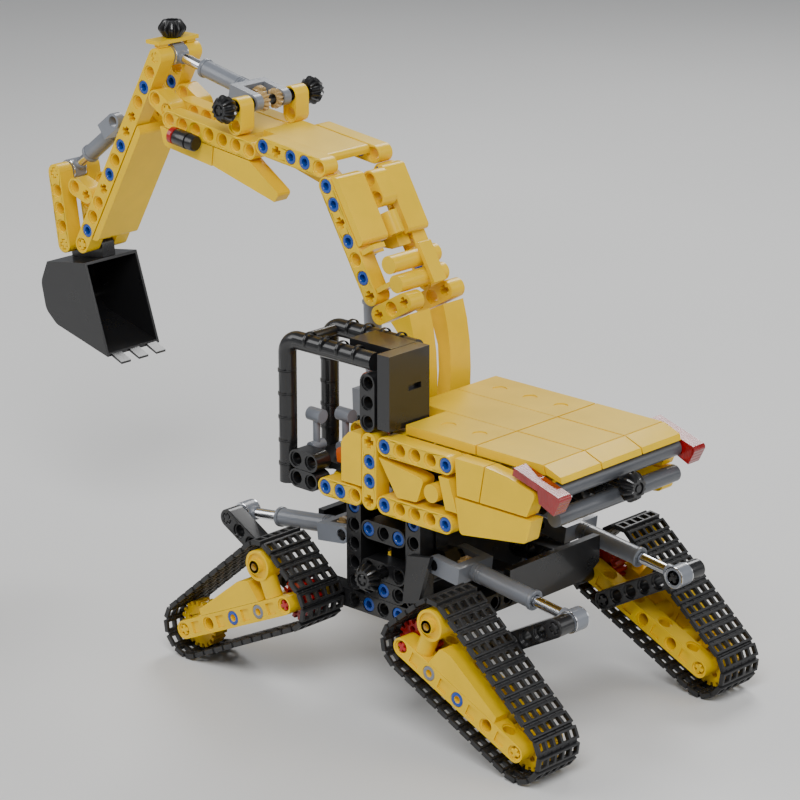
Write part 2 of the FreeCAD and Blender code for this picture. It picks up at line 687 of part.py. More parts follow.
def up(template, x, y, z, **turns):
    return lay(template, (x, y, z + UP), **turns)


def skin(name, points, low, high, rounds=None):
    """A flat cover piece, outlined in the side view above the lower rails."""
    return lay(outline(name, points, low, high, rounds), (0, 0, UP))


def pins(spots, y):
    return [up(pin, x, y, z) for x, z in spots]


LEFT = 6.0
RIGHT = -4.0
frame = []
for y in (LEFT, RIGHT):
    frame += [up(beam("ooooo"), -5, y, 0), up(beam("ooooo"), -5, y, 3), up(beam("ooo"), 1, y, 0),
              up(beam("xoox"), 0, y, 0, rise=90)]
for x in (-5, -1, 3):
    frame.append(up(beam("ooooooooo"), x, -3, 0, yaw=90))
for x in (-5, -1):
    frame.append(up(beam("ooooooooo"), x, -3, 3, yaw=90))
for y in (1.0, -3.0):
    frame.append(up(beam("ooo"), 3.6, y, 1.1))
node("house_frame", frame)

pivot = BOOM_PIVOT
base = [rod_along("turntable_upper", (0, 0, 5.72), 0.5, "Sizes.pitch * 3.6"),
        up(beam("ooooooooooo"), -9.5, 3, 1), up(beam("ooooooooooo"), -9.5, -2, 1),
        rod_along("boom_shaft", (pivot[0], -0.55, pivot[1]), 5.8, PIN_RADIUS, TO_Y)]
for y in (1.98, -3.05):
    ear = box(f"boom_ear_{y}", (pivot[0] - 0.7, y - 0.42, 7.0), (pivot[0] + 0.7, y + 0.42, pivot[1] + 0.6))
    hole = rod_along(f"boom_ear_hole_{y}", (pivot[0], y, pivot[1]), 2, PIN_RADIUS, TO_Y)
    base.append(cut(f"boom_mount_{y}", ear, [hole]))
lift_ear = outline("lift_ear", [(3.6, 7.1), (7.1, 7.1), (7.1, 8.05), (6.1, 8.05), (5.6, 7.6),
                                (3.6, 7.6)], -1.45, -0.55, {1: 0.3, 2: 0.4})
lift_ear_hole = rod_along("lift_ear_hole", (LIFT_FOOT[0], -1, LIFT_FOOT[1]), 3, "Sizes.bore_radius",
                          TO_Y)
base.append(cut("lift_mount", lift_ear, [lift_ear_hole]))
base.append(lay(axle(2.9), (LIFT_FOOT[0], -1, LIFT_FOOT[1])))
bearing = box("knob_bearing", (-10.3, 0.3, 8.1), (-9.6, 1.7, 9.3))
bearing_bore = rod_along("knob_bearing_bore", (-10, 1, 8.7), 3, PIN_CORE + " + 0.06", TO_X)
base.append(cut("knob_mount", bearing, [bearing_bore]))
base.append(box("knob_post", (-9.6, 0.3, 7.0), (-8.9, 1.7, 9.3)))
node("house_base", base)

deck = []
TOP_LOW, TOP = 3.52, 4.0
HOLE = LIP_RADIUS


def board(name, low_x, high_x, low_y, high_y, studs=()):
    """A deck board with shallow round dimples."""
    slab = box(name, (low_x, low_y, UP + TOP_LOW), (high_x, high_y, UP + TOP))
    if not studs:
        return slab
    dimples = [rod_along(f"{name}_dimple{k}", (x, y, UP + TOP + 0.4), 0.9, HOLE)
               for k, (x, y) in enumerate(studs)]
    return cut(name + "_cut", slab, dimples)


deck.append(board("board_left", -6.0, -1.5, 2.55, 5.45, [(-3, 4), (-5, 4)]))
deck.append(board("board_middle", -6.0, 0.55, -0.45, 2.5))
deck.append(board("board_right", -6.0, 0.55, -3.45, -0.5, [(-1, -2), (-3, -2), (-5, -2)]))
for number, y in enumerate((2.55, -0.45, -3.45)):
    deck.append(skin(f"board_rear{number}", [(-10.35, 3.52), (-6.1, 3.52), (-6.1, 4.0), (-10.2, 4.0)],
                     y, y + 2.9))
    deck.append(skin(f"board_slope{number}", [(-10.45, 3.55), (-10.3, 4.0), (-11.3, 3.62),
                                              (-11.4, 3.32)], y, y + 2.9))
node("deck", deck)

fairings = []
for y0, y1, tag in ((5.6, 6.45, "left"), (-4.45, -3.6, "right")):
    fairings += [
        skin(f"front_fairing_{tag}", [(-0.64, 2.37), (-3.61, 1.95), (-3.16, 0.67), (-1.84, 0.6)], y0, y1,
             {1: 0.2, 2: 0.2}),
        skin(f"plate_{tag}", [(-4.55, 2.35), (-5.2, 2.35), (-5.75, 0.75), (-5.0, 0.75)], y0, y1),
        skin(f"block_{tag}", [(-5.6, 3.5), (-7.45, 3.5), (-7.12, 1.65), (-5.75, 1.65)], y0, y1),
        skin(f"wedge_{tag}", [(-7.52, 3.5), (-8.9, 3.35), (-10.67, 2.9), (-10.11, 1.65), (-7.2, 1.65)],
             y0, y1, {1: 0.6, 2: 0.25}),
        skin(f"lower_fairing_{tag}", [(-5.61, 1.53), (-10.42, 1.52), (-10.13, 0.32), (-5.95, -0.26)],
             y0, y1, {2: 0.3, 3: 0.2}),
        rod_along(f"round_joint_{tag}", (-4.07, (y0 + y1) / 2, UP + 1.35), y1 - y0,
                  "Sizes.tube_radius", TO_Y)]
fairings.append(skin("door_panel", [(0.56, 0.6), (1.9, 0.6), (1.9, 2.7), (1.3, 3.3), (0.56, 3.3)],
                     5.6, 6.45, {2: 0.5, 3: 0.4}))
node("side_fairings", fairings)
lights = []
for y0, y1, tag in ((5.6, 6.45, "left"), (-4.45, -3.6, "right")):
    lights.append(skin(f"light_{tag}", [(-9.3, 3.9), (-12.2, 3.0), (-11.75, 2.1), (-10.85, 2.5),
                                        (-10.75, 3.08), (-9.2, 3.5)], y0, y1, {1: 0.2}))
node("tail_lights", lights)
node("rear_tubes", [rod_along("tube_upper", (-11, 1, UP + 2.85), 9, "Sizes.pitch * 0.42", TO_Y),
                    rod_along("tube_lower", (-11, 1, UP + 1.53), 9, "Sizes.pitch * 0.42", TO_Y)])
HOUSE_PINS = [(-1, 0), (-5, 0), (-1, 3), (-5, 3), (0, 1), (0, 2), (3, 0), (2, 0)]
node("house_pins", pins(HOUSE_PINS, LEFT) + pins(HOUSE_PINS, RIGHT))
rear_knob = fuse("rear_knob_solid", [
    lay(knob, (-12, 1, 8.7), yaw=90),
    rod_along("rear_knob_shaft", (-11.1, 1, 8.7), 1.9, PIN_CORE, TO_X)])
node("rear_knob", [rear_knob])


# ---------------------------------------------------------------- cab
HOOP_FRONT = 5.5375 + TUBE       # just clear of the ends of the house beams
CAB_BAR = 2.875 - 2 * TUBE       # a cross bar between the two hoops, with a joint line at each end


def hoop(name, y):
    """Round bar that rises from the floor, bends over and runs back along the roof."""
    post = square_rod(name + "_post", (HOOP_FRONT, y, UP + 2.85), 6.7)
    bend_x = HOOP_FRONT - 0.8
    roof = square_rod(name + "_roof", (bend_x / 2, y, UP + 7.0), bend_x, TO_X)
    bend = doc.addObject("Part::Torus", name + "_bend")
    bind(bend, Radius1=mm(0.8), Radius2="Sizes.tube_radius")
    bend.Angle3 = 90
    seat(bend, (bend_x, y, UP + 6.2), Rotation(Vector(1, 0, 0), 90))
    return [post, roof, bend]


cab_back = box("cab_back", (-1.35, 3.6, UP + 3.8), (-0.55, 6.45, UP + 7.6))
cab_notch = box("cab_notch", (-1.5, 4.2, UP + 5.6), (-1.1, 5.1, UP + 5.9))
cab = hoop("hoop_left", 6.0) + hoop("hoop_right", 3.0) + [
       rod_along("cab_bar_top", (5.2, 4.5, UP + 7), CAB_BAR, "Sizes.rod_radius", TO_Y),
       rod_along("cab_bar_low", (HOOP_FRONT, 4.5, UP + 0.2), CAB_BAR, "Sizes.rod_radius", TO_Y),
       cut("cab_back_cut", cab_back, [cab_notch]),
       box("cab_roof", (-0.5, 3.6, UP + 6.9), (2.3, 5.4, UP + 7.6)),
       up(beam("ooo"), 0.1, LEFT, 4.0, rise=90),
       up(beam("oo"), 4, LEFT, 0),
       up(beam("oo"), 4, LEFT, 1),
       box("cab_floor", (1.1, 2.9, UP + 0.55), (5.4, 5.4, UP + 0.9))]
node("cab_frame", cab)
node("cab_seat", [up(beam("ooo"), 1.1, 4.9, 3.6, rise=90),
                  skin("seat_base", [(1.2, 0.95), (3.3, 0.95), (3.4, 1.7), (1.7, 2.0), (1.2, 2.9)],
                       3.7, 5.3, {2: 0.3})])
for tag, x, z, y in (("left", 5.0, 1.35, 5.0), ("right", 3.95, 1.35, 4.0)):
    stalk = rod_along(f"stick_{tag}", (x, y, UP + z + 0.75), 1.5, PIN_CORE)
    head = rod_along(f"grip_{tag}", (x, y, UP + z + 1.6), 0.9, "Sizes.rod_radius + 0.6", TO_X)
    foot = rod_along(f"foot_{tag}", (x, y, UP + z), 0.9, "Sizes.rod_radius", TO_Y)
    node(f"cab_lever_{tag}", [fuse(f"lever_{tag}_solid", [stalk, head, foot])])

# ---------------------------------------------------------------- boom
BOOM_SIDES = (1.0, -3.0)
UPRIGHT = (14.2, 21.1)
boom = []
boom_pins = []
for y in BOOM_SIDES:
    knee = along(BOOM_BEND, 180 + BOOM_DROP, 1)
    front = along(UPRIGHT, BOOM_RISE, -1)
    boom += [lay(beam("oooxo"), (BOOM_BEND[0], y, BOOM_BEND[1]), rise=BOOM_RISE),
             lay(beam("ooxooox"), (knee[0], y, knee[1]), rise=180 + BOOM_DROP),
             lay(beam("ooooooo"), (front[0], y, front[1]), rise=BOOM_RISE),
             lay(beam("oo"), (UPRIGHT[0], y, UPRIGHT[1] + 1), rise=90)]
    for reach in (1, 2, 4):
        x, z = along(BOOM_BEND, BOOM_RISE, reach)
        boom_pins.append(lay(pin, (x, y, z), rise=BOOM_RISE))
    for reach in (1, 2, 4, 6):
        x, z = along(BOOM_BEND, 180 + BOOM_DROP, reach)
        boom_pins.append(lay(pin, (x, y, z), rise=BOOM_DROP))
boom.append(rod_along("lift_pin", (LIFT_HEAD[0], -1, LIFT_HEAD[1]), 2.9, "Sizes.rod_radius", TO_Y))
for y in (0.0, -2.0):
    arm = outline(f"lift_arm_{y}", [(5.85, 17.5), (5.45, 16.75), (6.0, 16.5), (6.99, 16.45),
                                    (7.45, 16.94), (7.0, 17.4), (6.6, 18.0)], y - 0.45, y + 0.45,
                  {3: 0.3})
    arm_hole = rod_along(f"lift_arm_hole_{y}", (LIFT_HEAD[0], y, LIFT_HEAD[1]), 2, "Sizes.rod_radius",
                         TO_Y)
    boom.append(cut(f"lift_arm_cut_{y}", arm, [arm_hole]))
tongue = along(STICK_PIVOT, BOOM_RISE, -3)
boom.append(lay(beam("oooo"), (tongue[0], -1, tongue[1]), rise=BOOM_RISE))
middle = along(STICK_PIVOT, BOOM_RISE, -5)
core = own("boom_core", box("boom_middle", (-1.4, -1.45, -0.45), (1.4, 1.45, 0.45)))
boom.append(lay(core, (middle[0], -1, middle[1]), rise=BOOM_RISE))
node("boom_frame", boom)

panels = []


def tilted(name, start, degrees, points, low, high, rounds=None):
    """A cover piece outlined along and beside a slanting line of the boom or stick."""
    return lay(outline(name, points, low, high, rounds), (start[0], 0, start[1]), rise=degrees)


DOWN = 180 + BOOM_DROP
TUBE_LINE = -2.03                # the two tubes lie this far behind the line of the rear beams
COVER = TUBE_LINE - TUBE - 0.03
for y0, y1, tag in ((-0.45, 1.45, "left"), (-3.45, -1.95, "right")):
    panels.append(tilted(f"back_panel_{tag}", BOOM_BEND, DOWN, [(0.7, -0.55), (4.5, -0.55), (4.5, -0.95),
                                                                (0.9, -0.95)], y0, y1, {2: 0.25, 3: 0.3}))
for tag, start in (("high", 4.72), ("low", 6.75)):
    panels.append(tilted(f"tube_plate_{tag}", BOOM_BEND, DOWN, [(start, -0.52), (start + 0.25, -0.52),
                                                                (start + 0.25, TUBE_LINE + TUBE + 0.05),
                                                                (start, TUBE_LINE + TUBE + 0.05)],
                         0.6, 1.4))
slot_at = along(BOOM_BEND, DOWN, 1.4, -0.85)
panels.append(lay(beam("oo"), (slot_at[0], -1.2, slot_at[1]), rise=DOWN))
sleeve = own("slot_sleeve", square_rod("slot_round", (0, 0, 0), 1.2, TO_X))
slot_low = along(BOOM_BEND, DOWN, 3.8, -0.75)
panels.append(lay(sleeve, (slot_low[0], -1.2, slot_low[1]), rise=DOWN))
panels.append(tilted("tube_cover", BOOM_BEND, DOWN, [(5.4, COVER), (7.6, COVER), (7.6, COVER - 0.23),
                                                     (5.4, COVER - 0.23)],
                     -1.3, -0.4, {0: 0.1, 3: 0.1}))
panels.append(tilted("top_panel", BOOM_BEND, BOOM_RISE, [(0.2, 0.05), (5.0, 0.05), (5.0, 0.45), (0.2, 0.45)],
                     -2.45, 0.45, {3: 0.25}))
ARC = [(3.25, 13.85), (2.0, 14.5), (1.72, 13.5), (1.52, 12.3), (1.45, 11.0), (1.48, 9.8), (1.55, 8.05),
       (2.45, 8.05), (2.4, 9.8), (2.28, 11.0), (2.35, 12.3), (2.7, 13.3)]
for y in (1.0, -2.0):
    panels.append(lay(beam("xox"), (4.05, y, 14.04), rise=149.8))
for y0, y1 in ((-0.05, 1.45), (-2.55, -1.05)):
    arc = outline(f"arc_{y1}", ARC, y0, y1, {6: 0.3, 7: 0.3})
    arc_hole = rod_along(f"arc_hole_{y1}", (BOOM_PIVOT[0], -1, BOOM_PIVOT[1]), 7, "Sizes.bore_radius", TO_Y)
    panels.append(cut(f"arc_cut_{y1}", arc, [arc_hole]))
for y0, y1, tag in ((0.55, 1.45, "left"), (-3.45, -2.55, "right")):
    panels += [
        tilted(f"front_skirt_{tag}", STICK_PIVOT, BOOM_RISE,
               [(-0.6, -0.55), (-4.6, -0.55), (-4.6, -1.6), (-1.0, -1.5)], y0, y1, {3: 0.3}),
        tilted(f"rear_skirt_{tag}", STICK_PIVOT, BOOM_RISE,
               [(-4.7, -0.55), (-7.3, -0.55), (-9.6, -1.7), (-9.3, -2.2), (-4.7, -1.55)], y0, y1,
               {2: 0.2})]
for number in (0, 1):
    x, z = along(BOOM_BEND, DOWN, 6.02 + number * (2 * TUBE + sheet.tube_gap / P), TUBE_LINE)
    panels.append(rod_along(f"boom_tube{number}", (x, -0.27, z), 3.44, "Sizes.tube_radius", TO_Y))
node("boom_panels", panels)
node("boom_pins", boom_pins)
LAMP_Y = 1.5175 + TUBE           # beside the front skirt
lamp_at = along(STICK_PIVOT, BOOM_RISE, -3.2, -0.5)
lamp = [lay(own("lamp_can", rod_along("lamp_body", (0, 0, 0), 1.5, "Sizes.tube_radius", TO_X)),
            (lamp_at[0], LAMP_Y, lamp_at[1]), rise=BOOM_RISE)]
collar = cut("lamp_collar_cut", rod_along("lamp_collar", (0.95, 0, 0), 0.35, "Sizes.tube_radius", TO_X),
             [rod_along("lamp_bore", (1.1, 0, 0), 0.4, "Sizes.rod_radius", TO_X)])
node("lamp", lamp + [lay(collar, (lamp_at[0], LAMP_Y, lamp_at[1]), rise=BOOM_RISE)])

lift_angle = angle_of(LIFT_FOOT, LIFT_HEAD)
node("lift_barrel", [barrel("lift_barrel_b", LIFT_FOOT, lift_angle, 6.2, -1)])
node("lift_rod", [rod("lift_rod_r", LIFT_FOOT, lift_angle, 2.75, span_of(LIFT_FOOT, LIFT_HEAD), -1)])
STICK_SCREW_AT = (14.2, 23.1)
screw_angle = angle_of(STICK_SCREW_AT, STICK_TOP)
node("stick_barrel", [barrel("stick_barrel_b", STICK_SCREW_AT, screw_angle, 4.9, -1)])
node("stick_rod", [rod("stick_rod_r", STICK_SCREW_AT, screw_angle, 2.6,
                       span_of(STICK_SCREW_AT, STICK_TOP), -1)])
stick_knobs = fuse("stick_knobs_solid", [lay(knob, (14.2, 2.15, 23.1)), lay(knob, (14.2, -4.15, 23.1)),
                                         lay(axle(7.2), (14.2, -1, 23.1))])
node("stick_knobs", [stick_knobs])

# ---------------------------------------------------------------- stick
stick = []
stick_pins = []
for y in (0, -2):
    upper = along(STICK_TOP, -STICK_FALL, 2, -1)
    lower_root = along(STICK_TOP, -STICK_FALL, 10)
    lower = along(lower_root, 77 - STICK_FALL, 1)
    stick += [lay(beam("xoooxxoooxoooo"), (STICK_TOP[0], y, STICK_TOP[1]), rise=-STICK_FALL),
              lay(beam("oo"), (upper[0], y, upper[1]), rise=-90 - STICK_FALL),
              lay(beam("xo"), (lower[0], y, lower[1]), rise=77 - STICK_FALL)]
    for reach in (2, 6, 8, 10, 12):
        x, z = along(STICK_TOP, -STICK_FALL, reach)
        if reach != 10:
            stick_pins.append(lay(pin, (x, y, z), rise=-STICK_FALL))
stick.append(lay(axle(2.9), (STICK_PIVOT[0], -1, STICK_PIVOT[1])))
stick.append(lay(axle(2.9), (BUCKET_PIVOT[0], -1, BUCKET_PIVOT[1])))
stick.append(lay(axle(2.9), (STICK_TOP[0], -1, STICK_TOP[1]), rise=-STICK_FALL))
node("stick_pins", stick_pins)
knob_x = STICK_TOP[0] + 0.22
shelf = box("shelf", (knob_x - 0.5, -2.45, 25.2), (knob_x + 0.5, 0.45, 25.4))
shelf_hole = rod_along("shelf_hole", (knob_x, -1, 25.3), 1, "Sizes.rod_radius + 0.06")
shelf_parts = [cut("shelf_cut", shelf, [shelf_hole])]
for y in (0, -2):
    shelf_parts.append(box(f"shelf_post{y}", (knob_x - 0.4, y - 0.3, 25.03), (knob_x, y + 0.3, 25.2)))
top_knob = fuse("top_knob_solid", [lay(knob, (knob_x, -1, 25.88), roll=90),
                                   rod_along("top_knob_post", (knob_x, -1, 25.37), 0.34,
                                             "Sizes.rod_radius")])
node("stick_top_knob", [top_knob])
node("stick_frame", stick + shelf_parts + [
    tilted("stick_back", STICK_TOP, -STICK_FALL, [(4.2, -0.55), (12.2, -0.55), (12.0, -0.95), (4.4, -0.95)],
           -2.45, 0.45, {2: 0.3, 3: 0.3}),
    tilted("stick_core", STICK_TOP, -STICK_FALL, [(4.6, -0.4), (9.2, -0.4), (9.2, 0.35), (4.6, 0.35)],
           -1.45, -0.55)])
bucket_angle = angle_of(BUCKET_SCREW_AT, BUCKET_LINK_HEAD)
bucket_reach = span_of(BUCKET_SCREW_AT, BUCKET_LINK_HEAD)
node("bucket_barrel", [barrel("bucket_barrel_b", BUCKET_SCREW_AT, bucket_angle, 4.2, -1, yoke=1.1)])
node("bucket_rod", [rod("bucket_rod_r", BUCKET_SCREW_AT, bucket_angle, 1.9, bucket_reach, -1)])
link_rise = angle_of(BUCKET_LINK_FOOT, BUCKET_LINK_HEAD)
link = []
for y in (0, -2):
    link.append(lay(beam("xooox"), (BUCKET_LINK_FOOT[0], y, BUCKET_LINK_FOOT[1]), rise=link_rise))
for at in (BUCKET_LINK_FOOT, BUCKET_LINK_HEAD):
    link.append(lay(axle(2.9), (at[0], -1, at[1]), rise=link_rise))
node("bucket_link", link)

# ---------------------------------------------------------------- bucket
OUTER = [(26.8, 12.35), (25.1, 7.3), (29.3, 8.35), (30.15, 9.05), (30.5, 10.6), (29.95, 11.85)]
WALL = sheet.bucket_wall / P
INWARD = ((-0.67, 1.0), (-1.13, 0.67), (-1.13, 0.0), (-0.87, -0.93))
INNER = [(26.0, 12.32), (24.3, 12.3), (24.3, 7.125 + WALL)]
INNER += [(x + WALL * right, z + WALL * rise) for (x, z), (right, rise) in zip(OUTER[2:], INWARD)]


def across_bucket(share, inset=0.0):
    """Expression for a place across the bucket: share is -1 at its right side and 1 at its left."""
    return f"{share} * (Sizes.bucket_width / 2 - {inset}) - Sizes.pitch"


shell = outline("bucket_outside", OUTER, across_bucket(-1), across_bucket(1), {2: 0.8, 3: 0.8, 4: 0.9})
room = outline("bucket_inside", INNER, across_bucket(-1, "Sizes.bucket_wall"),
               across_bucket(1, "Sizes.bucket_wall"), {3: 0.7, 4: 0.7, 5: 0.8})
lug = outline("bucket_lug", [(26.9, 12.345), (29.5, 11.935), (29.6, 12.9), (29.1, 13.45), (27.6, 13.65),
                             (27.0, 13.1)], -1.45, -0.55, {2: 0.3, 3: 0.4, 4: 0.4})
lug_holes = [rod_along("bucket_hole", (BUCKET_PIVOT[0], -1, BUCKET_PIVOT[1]), 2, "Sizes.bore_radius", TO_Y),
             rod_along("link_hole", (BUCKET_LINK_FOOT[0], -1, BUCKET_LINK_FOOT[1]), 2, "Sizes.bore_radius",
                       TO_Y)]
teeth = [cut("bucket_cut", shell, [room]), cut("bucket_lug_cut", lug, lug_holes)]
for number, share in enumerate((0.67, 0.0, -0.67)):
    teeth.append(outline(f"tooth{number}", [(25.08, 7.29), (24.3, 7.0), (24.3, 7.12), (25.06, 7.44)],
                         across_bucket(share) + " - 2.8", across_bucket(share) + " + 2.8"))
node("bucket", teeth)

# ---------------------------------------------------------------- build, check and export
doc.recompute()
for thing in doc.Objects:
    for state in ("Invalid", "Error"):
        if state in thing.State:
            raise RuntimeError(f"{thing.Name} is {state}")
for group in NODES:
    shape = group.Shape
    if shape.isNull() or not shape.isValid():
        raise RuntimeError(f"{group.Label} has no valid shape")
    shape.exportStep(f"parts/{group.Label}.step")
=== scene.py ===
"""Looks of a four-legged crawler excavator built from beams, pins and screw actuators."""

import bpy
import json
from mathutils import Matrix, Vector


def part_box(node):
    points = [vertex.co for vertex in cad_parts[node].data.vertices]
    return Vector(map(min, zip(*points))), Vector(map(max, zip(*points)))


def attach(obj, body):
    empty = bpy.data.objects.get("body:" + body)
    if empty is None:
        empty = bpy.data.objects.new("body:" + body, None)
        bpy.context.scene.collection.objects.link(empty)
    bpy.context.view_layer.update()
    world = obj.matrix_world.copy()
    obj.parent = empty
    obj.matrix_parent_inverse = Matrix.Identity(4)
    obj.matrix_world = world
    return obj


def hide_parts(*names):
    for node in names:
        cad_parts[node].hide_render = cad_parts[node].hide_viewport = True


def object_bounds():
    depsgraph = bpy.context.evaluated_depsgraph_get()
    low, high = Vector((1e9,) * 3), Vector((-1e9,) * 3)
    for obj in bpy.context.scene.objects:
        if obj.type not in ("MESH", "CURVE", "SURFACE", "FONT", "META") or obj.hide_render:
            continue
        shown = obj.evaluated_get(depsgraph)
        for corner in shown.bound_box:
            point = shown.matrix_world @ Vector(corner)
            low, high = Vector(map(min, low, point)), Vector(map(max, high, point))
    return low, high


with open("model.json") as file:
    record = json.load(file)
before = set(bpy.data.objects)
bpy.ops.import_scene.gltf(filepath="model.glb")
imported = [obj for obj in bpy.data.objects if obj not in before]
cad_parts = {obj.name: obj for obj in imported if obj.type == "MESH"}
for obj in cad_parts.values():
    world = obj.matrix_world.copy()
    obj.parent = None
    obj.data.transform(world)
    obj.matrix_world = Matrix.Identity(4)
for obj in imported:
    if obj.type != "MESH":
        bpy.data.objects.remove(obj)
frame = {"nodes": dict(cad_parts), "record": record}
CAD_BOX = [list(corner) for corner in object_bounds()]

import json
import math
import bmesh
import bpy
from mathutils import Matrix, Vector

bl_info = {
    "name": "Crawler excavator finish",
    "version": (1, 0, 0),
    "blender": (4, 5, 0),
    "location": "View3D > Sidebar > Excavator",
    "description": "Gives the packed excavator its plastics, edges and small parts",
    "category": "Object",
}

PITCH = 0.008
LEGS = ("front_left", "front_right", "rear_left", "rear_right")
LOW = Vector(CAD_BOX[0])
KNOB_HALF = 0.0035      # half the width of a hand knob
KNOB_BORE = 0.0026
AXLE_WIDTH = 0.0042     # cross axle, over its ribs
AXLE_RIB = 0.0016
RECESS = 0.0008         # depth of the hole in a toothed wheel's face


# ---------------------------------------------------------------- settings a user can change
class ExcavatorSizes(bpy.types.PropertyGroup):
    edge_round: bpy.props.FloatProperty(
        name="Edge rounding", description="Radius of moulded edges", default=0.00028,
        min=0.0, max=0.001, unit="LENGTH")
    track_pin: bpy.props.FloatProperty(
        name="Track pin", description="Radius of the hinge knuckles between track links",
        default=0.00085, min=0.0004, max=0.0012, unit="LENGTH")
    knob_tip: bpy.props.FloatProperty(
        name="Knob radius", description="Tip radius of the toothed hand knobs",
        default=0.0061, min=0.004, max=0.0061, unit="LENGTH")
    gear_tip: bpy.props.FloatProperty(
        name="Bevel gear radius", description="Tip radius of the small bevel gears on the actuators",
        default=0.0043, min=0.003, max=0.0044, unit="LENGTH")


def colour_setting(label, words, value):
    return bpy.props.FloatVectorProperty(name=label, description=words, default=value, size=3,
                                         min=0.0, max=1.0, subtype="COLOR")


class ExcavatorColours(bpy.types.PropertyGroup):
    yellow: colour_setting("Yellow", "Beams, covers and deck", (0.88, 0.56, 0.0))
    black: colour_setting("Black", "Chassis, cab bars, knobs and bucket", (0.012, 0.012, 0.013))
    track: colour_setting("Track", "Track links", (0.016, 0.016, 0.017))
    blue: colour_setting("Blue", "Friction pins", (0.008, 0.065, 0.36))
    grey: colour_setting("Grey", "Actuator barrels and cab levers", (0.2, 0.215, 0.245))
    dark_grey: colour_setting("Dark grey", "Counterweight tubes", (0.085, 0.09, 0.1))
    tan: colour_setting("Tan", "Bevel gears, bushes and axle ends", (0.5, 0.34, 0.14))
    orange: colour_setting("Orange", "Seat", (0.6, 0.11, 0.012))
    red: colour_setting("Red", "Inner track wheels and lamp collar", (0.42, 0.008, 0.007))
    lens: colour_setting("Lens red", "Tail lights", (0.42, 0.003, 0.003))


# ---------------------------------------------------------------- shader maths
class Value:
    """A node socket that can be used in Python expressions."""

    def __init__(self, graph, socket):
        self.graph = graph
        self.socket = socket

    def _math(self, operation, first, second):
        return self.graph.add("ShaderNodeMath", {"operation": operation}, {0: first, 1: second})

    def __add__(self, other):
        return self._math("ADD", self, other)

    def __radd__(self, other):
        return self._math("ADD", other, self)

    def __mul__(self, other):
        return self._math("MULTIPLY", self, other)

    def __rmul__(self, other):
        return self._math("MULTIPLY", other, self)


class Graph:
    """The node tree of one material."""

    def __init__(self, name):
        self.material = bpy.data.materials.new(name)
        self.material.use_nodes = True
        self.tree = self.material.node_tree
        self.tree.nodes.clear()

    def add(self, kind, settings=None, inputs=None, output=0):
        node = self.tree.nodes.new(kind)
        for key, value in (settings or {}).items():
            setattr(node, key, value)
        for key, value in (inputs or {}).items():
            if isinstance(value, Value):
                self.tree.links.new(value.socket, node.inputs[key])
            else:
                node.inputs[key].default_value = value
        return Value(self, node.outputs[output])

    def place(self):
        """Coordinates that stay with the surface, in metres."""
        return self.add("ShaderNodeTexCoord", output="Object")

    def noise(self, scale, detail=3.0, rough=0.5, stretch=None):
        where = self.place()
        if stretch:
            where = self.add("ShaderNodeVectorMath", {"operation": "MULTIPLY"}, {0: where, 1: stretch})
        return self.add("ShaderNodeTexNoise", {}, {"Vector": where, "Scale": scale, "Detail": detail,
                                                   "Roughness": rough}, "Fac")

    def spread(self, value, low, high, to_low, to_high):
        """A value clamped to one range and carried over to another."""
        return self.add("ShaderNodeMapRange", {"clamp": True},
                        {0: value, 1: low, 2: high, 3: to_low, 4: to_high})

    def mix(self, fac, first, second):
        node = self.tree.nodes.new("ShaderNodeMix")
        node.data_type = "RGBA"
        for key, value in ((0, fac), (6, first), (7, second)):
            if isinstance(value, Value):
                self.tree.links.new(value.socket, node.inputs[key])
            else:
                node.inputs[key].default_value = value
        return Value(self, node.outputs[2])

    def surface(self, **inputs):
        """The shader; names are written with underscores for spaces."""
        named = {key.replace("_", " "): value for key, value in inputs.items()}
        shader = self.add("ShaderNodeBsdfPrincipled", {}, named, "BSDF")
        out = self.tree.nodes.new("ShaderNodeOutputMaterial")
        self.tree.links.new(shader.socket, out.inputs["Surface"])
        return self.material

    def bump(self, height, strength, distance):
        return self.add("ShaderNodeBump", {}, {"Height": height, "Strength": strength,
                                               "Distance": distance}, "Normal")


def shade(colour, factor):
    return tuple(min(1.0, c * factor) for c in colour[:3]) + (1.0,)


def moulded(name, colour, rough=0.24, coat=0.25, grain=0.05, wear=0.12, gloss=0.5):
    """Glossy moulded plastic: faint flow marks, hairline scratches and a very fine skin."""
    g = Graph(name)
    flow = g.spread(g.noise(60.0, 4.0, 0.6), 0.3, 0.7, 0.0, 1.0)
    scuffs = g.spread(g.noise(900.0, 2.0, 0.6, (1.0, 0.16, 0.16)), 0.62, 0.78, 0.0, 1.0)
    dust = g.spread(g.noise(190.0, 5.0, 0.7), 0.5, 0.85, 0.0, 1.0)
    base = g.mix(flow, shade(colour, 0.94), shade(colour, 1.04))
    base = g.mix(scuffs * wear, base, shade(tuple(0.8 * c + 0.05 for c in colour[:3]), 1.0))
    roughness = rough + flow * 0.05 + scuffs * 0.16 + dust * 0.05
    skin = g.noise(2600.0, 2.0, 0.5) * grain + scuffs * 0.1
    return g.surface(Base_Color=base, Roughness=roughness, Normal=g.bump(skin, 0.25, 0.0002),
                     Coat_Weight=coat, Coat_Roughness=0.08, IOR=1.46,
                     Specular_IOR_Level=gloss)


def rubbery(name, colour):
    """Matt track plastic with a dusty, lightly grained skin."""
    g = Graph(name)
    dust = g.spread(g.noise(150.0, 6.0, 0.7), 0.42, 0.8, 0.0, 1.0)
    grain = g.noise(1500.0, 3.0, 0.6)
    base = g.mix(dust * 0.55, shade(colour, 0.9), shade(tuple(c + 0.03 for c in colour[:3]), 1.0))
    return g.surface(Base_Color=base, Roughness=0.4 + dust * 0.2 + grain * 0.06,
                     Normal=g.bump(grain, 0.3, 0.0002))


